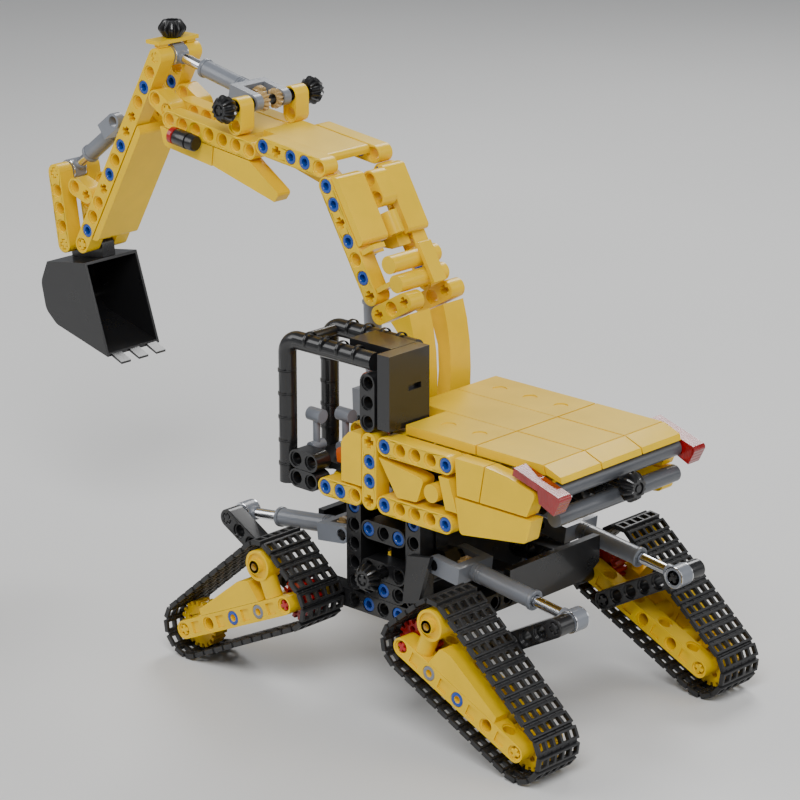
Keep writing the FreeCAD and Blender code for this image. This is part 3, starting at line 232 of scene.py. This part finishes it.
def plated(name):
    """Bright plated metal with fine turning lines."""
    g = Graph(name)
    lines = g.noise(1200.0, 2.0, 0.5, (1.0, 0.05, 1.0))
    smear = g.spread(g.noise(240.0, 4.0, 0.6), 0.35, 0.75, 0.0, 1.0)
    base = g.mix(smear, (0.8, 0.81, 0.83, 1.0), (0.66, 0.67, 0.7, 1.0))
    return g.surface(Base_Color=base, Metallic=1.0, Roughness=0.12 + smear * 0.1 + lines * 0.05,
                     Normal=g.bump(lines, 0.12, 0.0001))


def tinted(name, colour):
    """Clear tinted plastic with moulded prism lines."""
    g = Graph(name)
    prisms = g.add("ShaderNodeTexWave", {"wave_type": "BANDS", "bands_direction": "X"},
                   {"Vector": g.place(), "Scale": 420.0, "Distortion": 0.0}, "Fac")
    cloud = g.spread(g.noise(120.0, 3.0, 0.5), 0.3, 0.7, 0.0, 1.0)
    base = g.mix(cloud, shade(colour, 0.8), shade(colour, 1.1))
    return g.surface(Base_Color=base, Roughness=0.08 + prisms * 0.08, Transmission_Weight=0.35, IOR=1.5,
                     Normal=g.bump(prisms, 0.35, 0.0003), Coat_Weight=0.5 + cloud * 0.1)


FINISHES = {}


def make_finishes():
    c = bpy.context.scene.excavator_colours
    FINISHES.update({
        "yellow": moulded("yellow_plastic", tuple(c.yellow), 0.3, 0.08, 0.05, 0.06, 0.3),
        "black": moulded("black_plastic", tuple(c.black), 0.26, 0.3, 0.06, 0.05),
        "blue": moulded("blue_plastic", tuple(c.blue), 0.25),
        "grey": moulded("grey_plastic", tuple(c.grey), 0.28, 0.2),
        "dark_grey": moulded("dark_grey_plastic", tuple(c.dark_grey), 0.3, 0.2),
        "tan": moulded("tan_plastic", tuple(c.tan), 0.3, 0.2),
        "orange": moulded("orange_plastic", tuple(c.orange), 0.27),
        "red": moulded("red_plastic", tuple(c.red), 0.25),
        "track_black": rubbery("track_plastic", tuple(c.track)),
        "chrome": plated("plated_rod"),
        "lens": tinted("red_lens", tuple(c.lens)),
    })


# ---------------------------------------------------------------- mesh helpers
def finish_mesh(name, bm, finish, body, smooth=True):
    """A finished piece in the row frame that rides on a body."""
    bmesh.ops.recalc_face_normals(bm, faces=bm.faces)
    mesh = bpy.data.meshes.new(name)
    bm.to_mesh(mesh)
    bm.free()
    piece = bpy.data.objects.new(name, mesh)
    bpy.context.scene.collection.objects.link(piece)
    mesh.materials.append(FINISHES[finish])
    if smooth:
        mesh.shade_smooth()
        mesh.set_sharp_from_angle(angle=math.radians(38))
    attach(piece, body)
    return piece


def circle(bm, radius, along, matrix, count):
    """A ring of vertices round the local Z axis."""
    turns = [2 * math.pi * k / count for k in range(count)]
    return [bm.verts.new(matrix @ Vector((radius * math.cos(turn), radius * math.sin(turn), along)))
            for turn in turns]


def turned(bm, profile, matrix, sides=32):
    """Adds a turned form: profile is (distance along the axis, radius) pairs; the axis is local Z."""
    rings = []
    for along, radius in profile:
        if radius <= 1e-7:
            rings.append([bm.verts.new(matrix @ Vector((0, 0, along)))])
            continue
        rings.append(circle(bm, radius, along, matrix, sides))
    for a, b in zip(rings, rings[1:]):
        for k in range(sides):
            n = (k + 1) % sides
            if len(a) == 1 and len(b) == 1:
                continue
            if len(a) == 1:
                bm.faces.new((a[0], b[k], b[n]))
            elif len(b) == 1:
                bm.faces.new((a[k], a[n], b[0]))
            else:
                bm.faces.new((a[k], a[n], b[n], b[k]))


def toothed(bm, teeth, tip, root, stations, matrix, bore=0.0, steps=8):
    """Adds a toothed wheel: stations are (distance along the axis, share of tip, share of root)."""
    count = teeth * steps
    rings = []
    for along, tip_share, root_share in stations:
        ring = []
        for k in range(count):
            phase = (k % steps) / steps
            flank = 0.5 - 0.5 * math.cos(2 * math.pi * phase)
            flank = min(1.0, max(0.0, (flank - 0.28) / 0.44))
            radius = root * root_share + (tip * tip_share - root * root_share) * flank
            angle = 2 * math.pi * k / count
            ring.append(bm.verts.new(matrix @ Vector((radius * math.cos(angle), radius * math.sin(angle),
                                                      along))))
        rings.append(ring)
    for a, b in zip(rings, rings[1:]):
        for k in range(count):
            n = (k + 1) % count
            bm.faces.new((a[k], a[n], b[n], b[k]))
    for ring, along, sign in ((rings[0], stations[0][0], -1), (rings[-1], stations[-1][0], 1)):
        if bore <= 0.0:
            centre = bm.verts.new(matrix @ Vector((0, 0, along)))
            for k in range(count):
                bm.faces.new((ring[k], ring[(k + 1) % count], centre))
            continue
        inner = circle(bm, bore, along, matrix, count)
        deep = circle(bm, bore, along - sign * RECESS, matrix, count)
        floor = bm.verts.new(matrix @ Vector((0, 0, along - sign * RECESS)))
        for k in range(count):
            n = (k + 1) % count
            bm.faces.new((ring[k], ring[n], inner[n], inner[k]))
            bm.faces.new((inner[k], inner[n], deep[n], deep[k]))
            bm.faces.new((deep[k], deep[n], floor))


def cross_bar(bm, start, end, width, rib, matrix, chamfer=0.0003):
    """Adds a cross-section axle between two distances along the local Z axis."""
    h, r = width / 2, rib / 2
    outline = [(h, -r), (h, r), (r, r), (r, h), (-r, h), (-r, r), (-h, r), (-h, -r), (-r, -r), (-r, -h),
               (r, -h), (r, -r)]
    rings = []
    for along, share in ((start, 0.86), (start + chamfer, 1.0), (end - chamfer, 1.0), (end, 0.86)):
        rings.append([bm.verts.new(matrix @ Vector((x * share, y * share, along))) for x, y in outline])
    for a, b in zip(rings, rings[1:]):
        for k in range(12):
            n = (k + 1) % 12
            bm.faces.new((a[k], a[n], b[n], b[k]))
    bm.faces.new(rings[0])
    bm.faces.new(rings[-1])


def facing(point, axis, side=None):
    """A matrix at a point with its local Z along an axis."""
    z = Vector(axis).normalized()
    guess = Vector(side) if side else (Vector((1, 0, 0)) if abs(z.x) < 0.9 else Vector((0, 0, 1)))
    y = z.cross(guess).normalized()
    x = y.cross(z)
    turn = Matrix((x, y, z)).transposed().to_4x4()
    return Matrix.Translation(point) @ turn


def solids_of(node):
    """The boxes of a CAD node's separate solids, in the order they were built."""
    mesh = frame["nodes"][node].data
    key_of = {}
    parent = []

    def find(i):
        while parent[i] != i:
            parent[i] = parent[parent[i]]
            i = parent[i]
        return i

    ids = []
    for v in mesh.vertices:
        key = (round(v.co.x * 2e5), round(v.co.y * 2e5), round(v.co.z * 2e5))
        if key not in key_of:
            key_of[key] = len(parent)
            parent.append(len(parent))
        ids.append(key_of[key])
    for face in mesh.polygons:
        first = find(ids[face.vertices[0]])
        for v in face.vertices[1:]:
            other = find(ids[v])
            if other != first:
                parent[other] = first
    found = {}
    for v, i in zip(mesh.vertices, ids):
        root = find(i)
        low, high = found.setdefault(root, (v.co.copy(), v.co.copy()))
        for a in range(3):
            low[a] = min(low[a], v.co[a])
            high[a] = max(high[a], v.co[a])
    return list(found.values())


def body_of_node(node):
    for body, members in frame["record"]["behaviour"]["bodies"].items():
        if node in members:
            return body
    raise ValueError(node)


def joint(name):
    for entry in frame["record"]["behaviour"]["joints"]:
        if entry["name"] == name:
            return entry
    raise ValueError(name)


def at_joint(name):
    return Vector(joint(name)["pos_m"])


def coat_node(node, finish, rounding=None, sides=2):
    """Gives a CAD node its material and moulded edges."""
    thing = frame["nodes"][node]
    thing.data.materials.clear()
    thing.data.materials.append(FINISHES[finish])
    sizes = bpy.context.scene.excavator_sizes
    weld = thing.modifiers.new("weld", "WELD")
    weld.merge_threshold = 0.00001
    if rounding != 0:
        bevel = thing.modifiers.new("moulded edge", "BEVEL")
        bevel.width = rounding or sizes.edge_round
        bevel.segments = sides
        bevel.limit_method = "ANGLE"
        bevel.angle_limit = math.radians(42)
        bevel.use_clamp_overlap = True
        bevel.harden_normals = False
    for face in thing.data.polygons:
        face.use_smooth = True
    normals = thing.modifiers.new("even shading", "WEIGHTED_NORMAL")
    normals.keep_sharp = False
    return thing


# ---------------------------------------------------------------- pieces
NODE_FINISH = {
    "yellow": ["house_frame", "deck", "side_fairings", "boom_frame", "boom_panels", "stick_frame",
               "bucket_link"]
              + ["leg_frame_" + leg for leg in LEGS] + ["drive_wheel_" + leg for leg in LEGS],
    "black": ["chassis_frame", "house_base", "cab_frame", "bucket"] + ["leg_lever_" + leg for leg in LEGS],
    "red": ["hub_wheel_" + leg for leg in LEGS],
    "grey": ["lift_barrel", "stick_barrel", "bucket_barrel", "cab_lever_left", "cab_lever_right"]
            + ["leg_barrel_" + leg for leg in LEGS],
    "chrome": ["lift_rod", "stick_rod", "bucket_rod"] + ["leg_rod_" + leg for leg in LEGS],
    "orange": ["cab_seat"],
    "dark_grey": ["rear_tubes"],
    "lens": ["tail_lights"],
    "track_black": ["track_" + leg for leg in LEGS],
}


class EXCAVATOR_OT_mouldings(bpy.types.Operator):
    """Gives every carried-over moulding its plastic and its rounded edges"""
    bl_idname = "excavator.mouldings"
    bl_label = "Mouldings"

    def execute(self, context):
        for finish, nodes in NODE_FINISH.items():
            for node in nodes:
                rounding = 0.00016 if finish in ("track_black", "chrome") else None
                coat_node(node, finish, rounding, 1 if finish == "track_black" else 2)
        return {"FINISHED"}


def pin_profile(half, lip=0.0029, shank=0.0023, hollow=0.00152):
    """Half-length profile of a hollow friction pin, mirrored to both ends."""
    side = [(half - 0.0022, 0.0), (half - 0.0022, hollow), (half - 0.00025, hollow), (half, hollow + 0.0002),
            (half, lip - 0.0003), (half - 0.0001, lip - 0.00008), (half - 0.0003, lip),
            (half - 0.00055, lip), (half - 0.0006, shank), (0.0, shank)]
    other = [(-a, r) for a, r in reversed(side[:-1])]
    return side + other


class EXCAVATOR_OT_pins(bpy.types.Operator):
    """Turns the friction pins with their lips and hollow ends"""
    bl_idname = "excavator.pins"
    bl_label = "Pins"

    def execute(self, context):
        for node in ("chassis_pins", "house_pins", "boom_pins", "stick_pins"):
            bm = bmesh.new()
            for low, high in solids_of(node):
                middle = (low + high) / 2
                half = (high.y - low.y) / 2
                turned(bm, pin_profile(half), facing(middle, (0, 1, 0)), 28)
            piece = finish_mesh(node + "_turned", bm, "blue", body_of_node(node))
            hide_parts(node)
        return {"FINISHED"}


KNOB_STATIONS = [(-0.0035, 0.66, 0.8), (-0.0032, 0.7, 0.86), (-0.0008, 0.97, 1.0), (0.0, 1.0, 1.0),
                 (0.0008, 0.97, 1.0), (0.0032, 0.7, 0.86), (0.0035, 0.66, 0.8)]


def knob(bm, centre, axis, shaft):
    """A double-bevelled twelve-tooth knob with a cross axle through it."""
    sizes = bpy.context.scene.excavator_sizes
    at = facing(centre, axis)
    toothed(bm, 12, sizes.knob_tip, sizes.knob_tip * 0.7, KNOB_STATIONS, at, bore=KNOB_BORE)
    cross_bar(bm, shaft[0], shaft[1], AXLE_WIDTH, AXLE_RIB, at)


class EXCAVATOR_OT_knobs(bpy.types.Operator):
    """Cuts the toothed hand knobs and their axles"""
    bl_idname = "excavator.knobs"
    bl_label = "Hand knobs"

    def execute(self, context):
        for side, sign in (("left", 1), ("right", -1)):
            bm = bmesh.new()
            low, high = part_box("leg_knob_" + side)
            outer = high.y if sign > 0 else low.y
            inner = low.y if sign > 0 else high.y
            centre = Vector((0, outer - sign * KNOB_HALF, (low.z + high.z) / 2))
            reach = abs(inner - centre.y)
            knob(bm, centre, (0, sign, 0), (-reach, 0.0034))
            piece = finish_mesh("leg_knob_" + side + "_cut", bm, "black", "knob_" + side)
            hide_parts("leg_knob_" + side)
        low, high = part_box("rear_knob")
        bm = bmesh.new()
        centre = Vector((low.x + KNOB_HALF, (low.y + high.y) / 2, (low.z + high.z) / 2))
        at = facing(centre, (-1, 0, 0))
        sizes = context.scene.excavator_sizes
        toothed(bm, 12, sizes.knob_tip, sizes.knob_tip * 0.7, KNOB_STATIONS, at, bore=KNOB_BORE)
        turned(bm, [(-(high.x - centre.x), 0.0), (-(high.x - centre.x), 0.0013), (-0.0156, 0.0015),
                    (0.0034, 0.0015), (0.0034, 0.0)], at, 20)
        piece = finish_mesh("rear_knob_cut", bm, "black", "rear_knob_body")
        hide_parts("rear_knob")
        low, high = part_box("stick_knobs")
        bm = bmesh.new()
        at = (low + high) / 2
        for y, sign in ((high.y - KNOB_HALF, 1), (low.y + KNOB_HALF, -1)):
            toothed(bm, 12, sizes.knob_tip, sizes.knob_tip * 0.7, KNOB_STATIONS,
                    facing(Vector((at.x, y, at.z)), (0, sign, 0)), bore=KNOB_BORE)
        cross_bar(bm, low.y - at.y + 0.0003, high.y - at.y - 0.0003, AXLE_WIDTH, AXLE_RIB,
                  facing(at, (0, 1, 0)))
        piece = finish_mesh("stick_knobs_cut", bm, "black", "stick_knob_shaft")
        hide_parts("stick_knobs")
        low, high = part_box("stick_top_knob")
        bm = bmesh.new()
        centre = Vector(((low.x + high.x) / 2, (low.y + high.y) / 2, high.z - KNOB_HALF))
        at = facing(centre, (0, 0, 1))
        toothed(bm, 12, sizes.knob_tip, sizes.knob_tip * 0.7, KNOB_STATIONS, at, bore=KNOB_BORE)
        turned(bm, [(low.z - centre.z, 0.0), (low.z - centre.z, 0.0022), (-0.003, 0.0022), (-0.003, 0.0)],
               at, 24)
        piece = finish_mesh("stick_top_knob_cut", bm, "black", "top_knob")
        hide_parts("stick_top_knob")
        return {"FINISHED"}


class EXCAVATOR_OT_tracks(bpy.types.Operator):
    """Adds the hinge knuckles between the links of each track"""
    bl_idname = "excavator.tracks"
    bl_label = "Track knuckles"

    def execute(self, context):
        radius = context.scene.excavator_sizes.track_pin
        for leg in LEGS:
            plates = [(low + high) / 2 for low, high in solids_of("track_" + leg)]
            low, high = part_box("track_" + leg)
            middle = sum(plates, Vector()) / len(plates)
            plates.sort(key=lambda p: math.atan2(p.z - middle.z, p.x - middle.x))
            width = high.y - low.y
            bm = bmesh.new()
            for a, b in zip(plates, plates[1:] + plates[:1]):
                spot = (a + b) / 2
                count = 9
                step = (width - 0.001) / count
                for k in range(count):
                    y = low.y + 0.0005 + (k + 0.5) * step
                    fat = radius * (1.0 if k % 2 else 0.82)
                    half = step / 2 - 0.00006
                    turned(bm, [(-half, 0.0), (-half, fat * 0.86), (-half + 0.00012, fat),
                                (half - 0.00012, fat), (half, fat * 0.86), (half, 0.0)],
                           facing(Vector((spot.x, y, spot.z)), (0, 1, 0)), 12)
            finish_mesh(f"track_{leg}_knuckles", bm, "track_black", "leg_" + leg)
        return {"FINISHED"}


def bush(bm, centre, axis, outer=0.0036, inner=0.0024, half=0.0016):
    """A round bush with a groove, on the local axis."""
    at = facing(centre, axis)
    turned(bm, [(-half, inner), (-half, outer - 0.0003), (-half + 0.0003, outer), (-0.0004, outer),
                (-0.0003, outer - 0.0003), (0.0003, outer - 0.0003), (0.0004, outer),
                (half - 0.0003, outer), (half, outer - 0.0003), (half, inner), (-half, inner)], at, 32)


def cap_ring(bm, centre, axis, outer=0.0029, inner=0.00152, half=0.00019):
    turned(bm, [(-half, inner), (-half, outer), (half - 0.0001, outer), (half, outer - 0.00015),
                (half, inner + 0.00012), (half - 0.0001, inner), (-half, inner)],
           facing(centre, axis), 28)


class EXCAVATOR_OT_leg_fittings(bpy.types.Operator):
    """Adds the pin heads, bushes and bevel gears of the legs"""
    bl_idname = "excavator.leg_fittings"
    bl_label = "Leg fittings"

    def execute(self, context):
        sizes = context.scene.excavator_sizes
        for leg in LEGS:
            side = 1 if leg.endswith("left") else -1
            front = 1 if leg.startswith("front") else -1
            hub = at_joint("spin_hub_" + leg)
            drive = at_joint("spin_drive_" + leg)
            step = (drive - hub) / 8.0
            face = hub.y + side * 1.4875 * PITCH
            out = (0, side, 0)
            blue = bmesh.new()
            cap_ring(blue, Vector((hub.x + step.x * 4, face - side * 0.0002, hub.z + step.z * 4)), out)
            finish_mesh(f"leg_{leg}_blue_head", blue, "blue", "leg_" + leg)
            grey = bmesh.new()
            cap_ring(grey, Vector((hub.x + step.x * 2, face - side * 0.0002, hub.z + step.z * 2)), out)
            finish_mesh(f"leg_{leg}_grey_head", grey, "grey", "leg_" + leg)
            along = step.normalized()
            up = Vector((-along.z * front, 0, along.x * front))
            centre = hub + along * PITCH * 1.0 + up * PITCH * 2.25
            tan = bmesh.new()
            low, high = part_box("leg_frame_" + leg)
            outside = high.y if side > 0 else low.y
            bush(tan, Vector((centre.x, outside - side * 0.0007, centre.z)), out, 0.0029, 0.0015, 0.0007)
            finish_mesh(f"leg_{leg}_guide_core", tan, "tan", "leg_" + leg)
            end = at_joint("swing_" + leg)
            rod_axis = Vector(joint("extend_" + leg)["axis"])
            gear = bmesh.new()
            toothed(gear, 12, sizes.gear_tip, sizes.gear_tip * 0.7,
                    [(-0.0017, 0.72, 0.8), (0.0, 1.0, 1.0), (0.0012, 1.0, 1.0), (0.0016, 0.95, 0.98)],
                    facing(end + rod_axis * 0.95 * PITCH, rod_axis, (0, 1, 0)), bore=0.0012)
            finish_mesh(f"leg_{leg}_bevel_gear", gear, "tan", "screw_" + leg)
        return {"FINISHED"}


EYE_RADIUS = 0.0045
EYE_HALF = 0.0036


def reach_of(node, start, axis):
    """How far a node reaches from a point along an axis."""
    return max((v.co - start).dot(axis) for v in frame["nodes"][node].data.vertices)


class EXCAVATOR_OT_cab_fittings(bpy.types.Operator):
    """Adds the joint rings of the cab bars, the gears on the stick knob shaft and the screw gears"""
    bl_idname = "excavator.cab_fittings"
    bl_label = "Cab and gear fittings"

    def execute(self, context):
        low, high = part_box("cab_frame")
        tube = 0.0037
        rings = bmesh.new()

        def ring(centre, axis):
            turned(rings, [(-0.0007, tube - 0.0002), (-0.0006, tube + 0.00016), (-0.0001, tube + 0.00018),
                           (0.0, tube - 0.0001), (0.0001, tube + 0.00018), (0.0006, tube + 0.00016),
                           (0.0007, tube - 0.0002)], facing(centre, axis), 32)

        for y in (high.y - tube, high.y - tube - 3 * PITCH):
            for share in (0.12, 0.27, 0.42, 0.57, 0.72):
                ring(Vector((high.x - tube, y, low.z + share * (high.z - low.z))), (0, 0, 1))
            for back in (1.6, 2.7, 3.8, 4.9):
                ring(Vector((high.x - tube - back * PITCH, y, high.z - tube)), (1, 0, 0))
        finish_mesh("cab_joint_rings", rings, "black", "house")
        sizes = context.scene.excavator_sizes
        profile = [(-0.0019, 0.66, 0.7), (0.0, 1.0, 1.0), (0.0012, 1.0, 1.0), (0.0018, 0.9, 0.95)]
        pivot = at_joint("stick_screw_swing")
        axis = Vector(joint("stick_extend")["axis"])
        on_shaft = bmesh.new()
        for sign in (1, -1):
            toothed(on_shaft, 12, sizes.gear_tip, sizes.gear_tip * 0.7, profile,
                    facing(pivot + Vector((0, sign * 0.0042, 0)), (0, -sign, 0)), bore=0.0022)
        finish_mesh("shaft_gears", on_shaft, "tan", "stick_knob_shaft")
        for body, place, slide in (("stick_screw", "stick_screw_swing", "stick_extend"),
                                   ("bucket_screw", "bucket_screw_swing", "bucket_extend")):
            bm = bmesh.new()
            along = Vector(joint(slide)["axis"])
            toothed(bm, 12, sizes.gear_tip * 0.95, sizes.gear_tip * 0.66, profile,
                    facing(at_joint(place) + along * 0.0066, -along, (0, 1, 0)), bore=0.0012)
            finish_mesh(body + "_gear", bm, "tan", body)
        return {"FINISHED"}


class EXCAVATOR_OT_actuators(bpy.types.Operator):
    """Adds the collars and grip rings of the screw actuators"""
    bl_idname = "excavator.actuators"
    bl_label = "Actuator collars"

    def execute(self, context):
        screws = [("swing_" + leg, "extend_" + leg, "screw_" + leg, 5.6, 1.6) for leg in LEGS]
        screws += [("lift_swing", "lift_extend", "lift_screw", 6.2, 1.6),
                   ("stick_screw_swing", "stick_extend", "stick_screw", 4.9, 1.6),
                   ("bucket_screw_swing", "bucket_extend", "bucket_screw", 4.2, 1.1)]
        for pivot, slide, body, length, yoke in screws:
            start = at_joint(pivot)
            axis = Vector(joint(slide)["axis"])
            bm = bmesh.new()
            mouth = start + axis * length * PITCH
            turned(bm, [(-0.0016, 0.0036), (-0.0016, 0.0040), (-0.0013, 0.0042), (-0.0002, 0.0042),
                        (0.0, 0.0040), (0.0, 0.0026), (-0.0005, 0.0025), (-0.0005, 0.0036),
                        (-0.0016, 0.0036)], facing(mouth, axis), 36)
            for k in range(3):
                ring = start + axis * (yoke * PITCH + 0.0022 + k * 0.0013)
                turned(bm, [(-0.0003, 0.0036), (-0.00025, 0.0039), (0.00025, 0.0039), (0.0003, 0.0036),
                            (-0.0003, 0.0036)], facing(ring, axis), 36)
            finish_mesh(body + "_collars", bm, "grey", body)
            rod = body.replace("screw", "rod") if body.startswith(("lift", "stick", "bucket")) \
                else "leg_rod_" + body[len("screw_"):]
            head = start + axis * (reach_of(rod, start, axis) - EYE_RADIUS)
            bm = bmesh.new()
            half = EYE_HALF + 0.00008
            turned(bm, [(-half, 0.0031), (-half, EYE_RADIUS - 0.0006), (-half + 0.0006, EYE_RADIUS + 0.00008),
                        (half - 0.0006, EYE_RADIUS + 0.00008), (half, EYE_RADIUS - 0.0006), (half, 0.0031),
                        (-half, 0.0031)], facing(head, (0, 1, 0)), 40)
            turned(bm, [(0.0036, 0.0), (0.0036, 0.00285), (0.0058, 0.00285), (0.0061, 0.0026),
                        (0.0061, 0.0)], facing(head, -axis), 32)
            finish_mesh(rod + "_eye_sleeve", bm, "grey", body_of_node(rod))
        return {"FINISHED"}


class EXCAVATOR_OT_lamp(bpy.types.Operator):
    """Builds the round work lamp with its red collar and a plated lens"""
    bl_idname = "excavator.lamp"
    bl_label = "Work lamp"

    def execute(self, context):
        solids = sorted(solids_of("lamp"), key=lambda s: -(s[1] - s[0]).length)
        body_low, body_high = solids[0]
        ring_low, ring_high = solids[-1]
        body = (body_low + body_high) / 2
        ring = (ring_low + ring_high) / 2
        axis = (ring - body).normalized()
        half = 0.0058
        bm = bmesh.new()
        turned(bm, [(-half, 0.0), (-half, 0.0028), (-half + 0.0004, 0.0033), (-0.002, 0.0035),
                    (-0.0018, 0.0031), (-0.0014, 0.0031), (-0.0012, 0.0036), (half - 0.0004, 0.0036),
                    (half, 0.0034), (half, 0.0)], facing(body, axis), 40)
        can = finish_mesh("lamp_can", bm, "black", "boom")
        bm = bmesh.new()
        turned(bm, [(-0.0013, 0.0021), (-0.0013, 0.0033), (-0.001, 0.0036), (0.001, 0.0036),
                    (0.0013, 0.0033), (0.0012, 0.0023), (-0.0002, 0.0021), (-0.0013, 0.0021)],
               facing(ring, axis), 40)
        finish_mesh("lamp_collar", bm, "red", "boom")
        bm = bmesh.new()
        turned(bm, [(-0.0013, 0.002), (0.0, 0.002), (0.0006, 0.0013), (0.0009, 0.0)],
               facing(ring, axis), 32)
        finish_mesh("lamp_lens", bm, "chrome", "boom")
        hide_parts("lamp")
        return {"FINISHED"}


class EXCAVATOR_OT_stage(bpy.types.Operator):
    """Sets the floor, the lights and the camera"""
    bl_idname = "excavator.stage"
    bl_label = "Stage"

    def execute(self, context):
        scene = context.scene
        bm = bmesh.new()
        reach = 2.4
        bmesh.ops.create_grid(bm, x_segments=24, y_segments=24, size=reach)
        bmesh.ops.translate(bm, verts=bm.verts, vec=(0, 0, LOW.z - 0.0002))
        mesh = bpy.data.meshes.new("floor")
        bm.to_mesh(mesh)
        bm.free()
        floor = bpy.data.objects.new("floor", mesh)
        scene.collection.objects.link(floor)
        g = Graph("floor_paper")
        tone = g.spread(g.noise(2.0, 3.0, 0.5), 0.3, 0.7, 0.0, 1.0)
        mesh.materials.append(g.surface(Base_Color=g.mix(tone, (0.74, 0.74, 0.73, 1), (0.79, 0.79, 0.78, 1)),
                                        Roughness=0.6 + tone * 0.05))
        world = bpy.data.worlds.new("studio")
        scene.world = world
        world.use_nodes = True
        sky = world.node_tree.nodes["Background"]
        sky.inputs["Color"].default_value = (0.86, 0.88, 0.92, 1.0)
        sky.inputs["Strength"].default_value = 0.26
        aim = Vector((0.04, 0.0, 0.06))
        for name, place, size, power in (("key", (-0.55, 0.75, 1.05), 0.7, 13.0),
                                         ("fill", (-0.9, -0.5, 0.6), 0.9, 4.0),
                                         ("front", (0.9, 0.7, 0.7), 0.8, 5.5),
                                         ("rim", (0.5, -0.9, 0.9), 0.6, 8.0)):
            light = bpy.data.lights.new(name, "AREA")
            light.shape = "DISK"
            light.size = size
            light.energy = power
            lamp = bpy.data.objects.new(name, light)
            lamp.location = place
            lamp.rotation_euler = (aim - Vector(place)).to_track_quat("-Z", "Y").to_euler()
            scene.collection.objects.link(lamp)
        camera = bpy.data.cameras.new("camera")
        camera.lens = 144.12
        camera.sensor_width = 36.0
        camera.clip_start = 0.05
        holder = bpy.data.objects.new("camera", camera)
        holder.location = (-0.812712, 0.904672, 0.474424)
        holder.rotation_euler = Vector((0.64926, -0.69552, -0.30776)).to_track_quat("-Z", "Y").to_euler()
        scene.collection.objects.link(holder)
        scene.camera = holder
        return {"FINISHED"}


OPERATORS = (EXCAVATOR_OT_mouldings, EXCAVATOR_OT_pins, EXCAVATOR_OT_knobs, EXCAVATOR_OT_tracks,
             EXCAVATOR_OT_leg_fittings, EXCAVATOR_OT_cab_fittings,
             EXCAVATOR_OT_actuators, EXCAVATOR_OT_lamp, EXCAVATOR_OT_stage)


class EXCAVATOR_PT_panel(bpy.types.Panel):
    """Lists the settings and the groups of pieces"""
    bl_idname = "EXCAVATOR_PT_panel"
    bl_label = "Excavator"
    bl_space_type = "VIEW_3D"
    bl_region_type = "UI"
    bl_category = "Excavator"

    def draw(self, context):
        layout = self.layout
        for group in (context.scene.excavator_sizes, context.scene.excavator_colours):
            for key in group.__annotations__:
                layout.prop(group, key)
        for operator in OPERATORS:
            layout.operator(operator.bl_idname)


CLASSES = (ExcavatorSizes, ExcavatorColours) + OPERATORS + (EXCAVATOR_PT_panel,)


def register():
    for cls in CLASSES:
        bpy.utils.register_class(cls)
    bpy.types.Scene.excavator_sizes = bpy.props.PointerProperty(type=ExcavatorSizes)
    bpy.types.Scene.excavator_colours = bpy.props.PointerProperty(type=ExcavatorColours)


def unregister():
    del bpy.types.Scene.excavator_sizes
    del bpy.types.Scene.excavator_colours
    for cls in reversed(CLASSES):
        bpy.utils.unregister_class(cls)


def main():
    register()
    make_finishes()
    for operator in OPERATORS:
        family, action = operator.bl_idname.split(".")
        getattr(getattr(bpy.ops, family), action)()


if __name__ == "__main__":
    main()
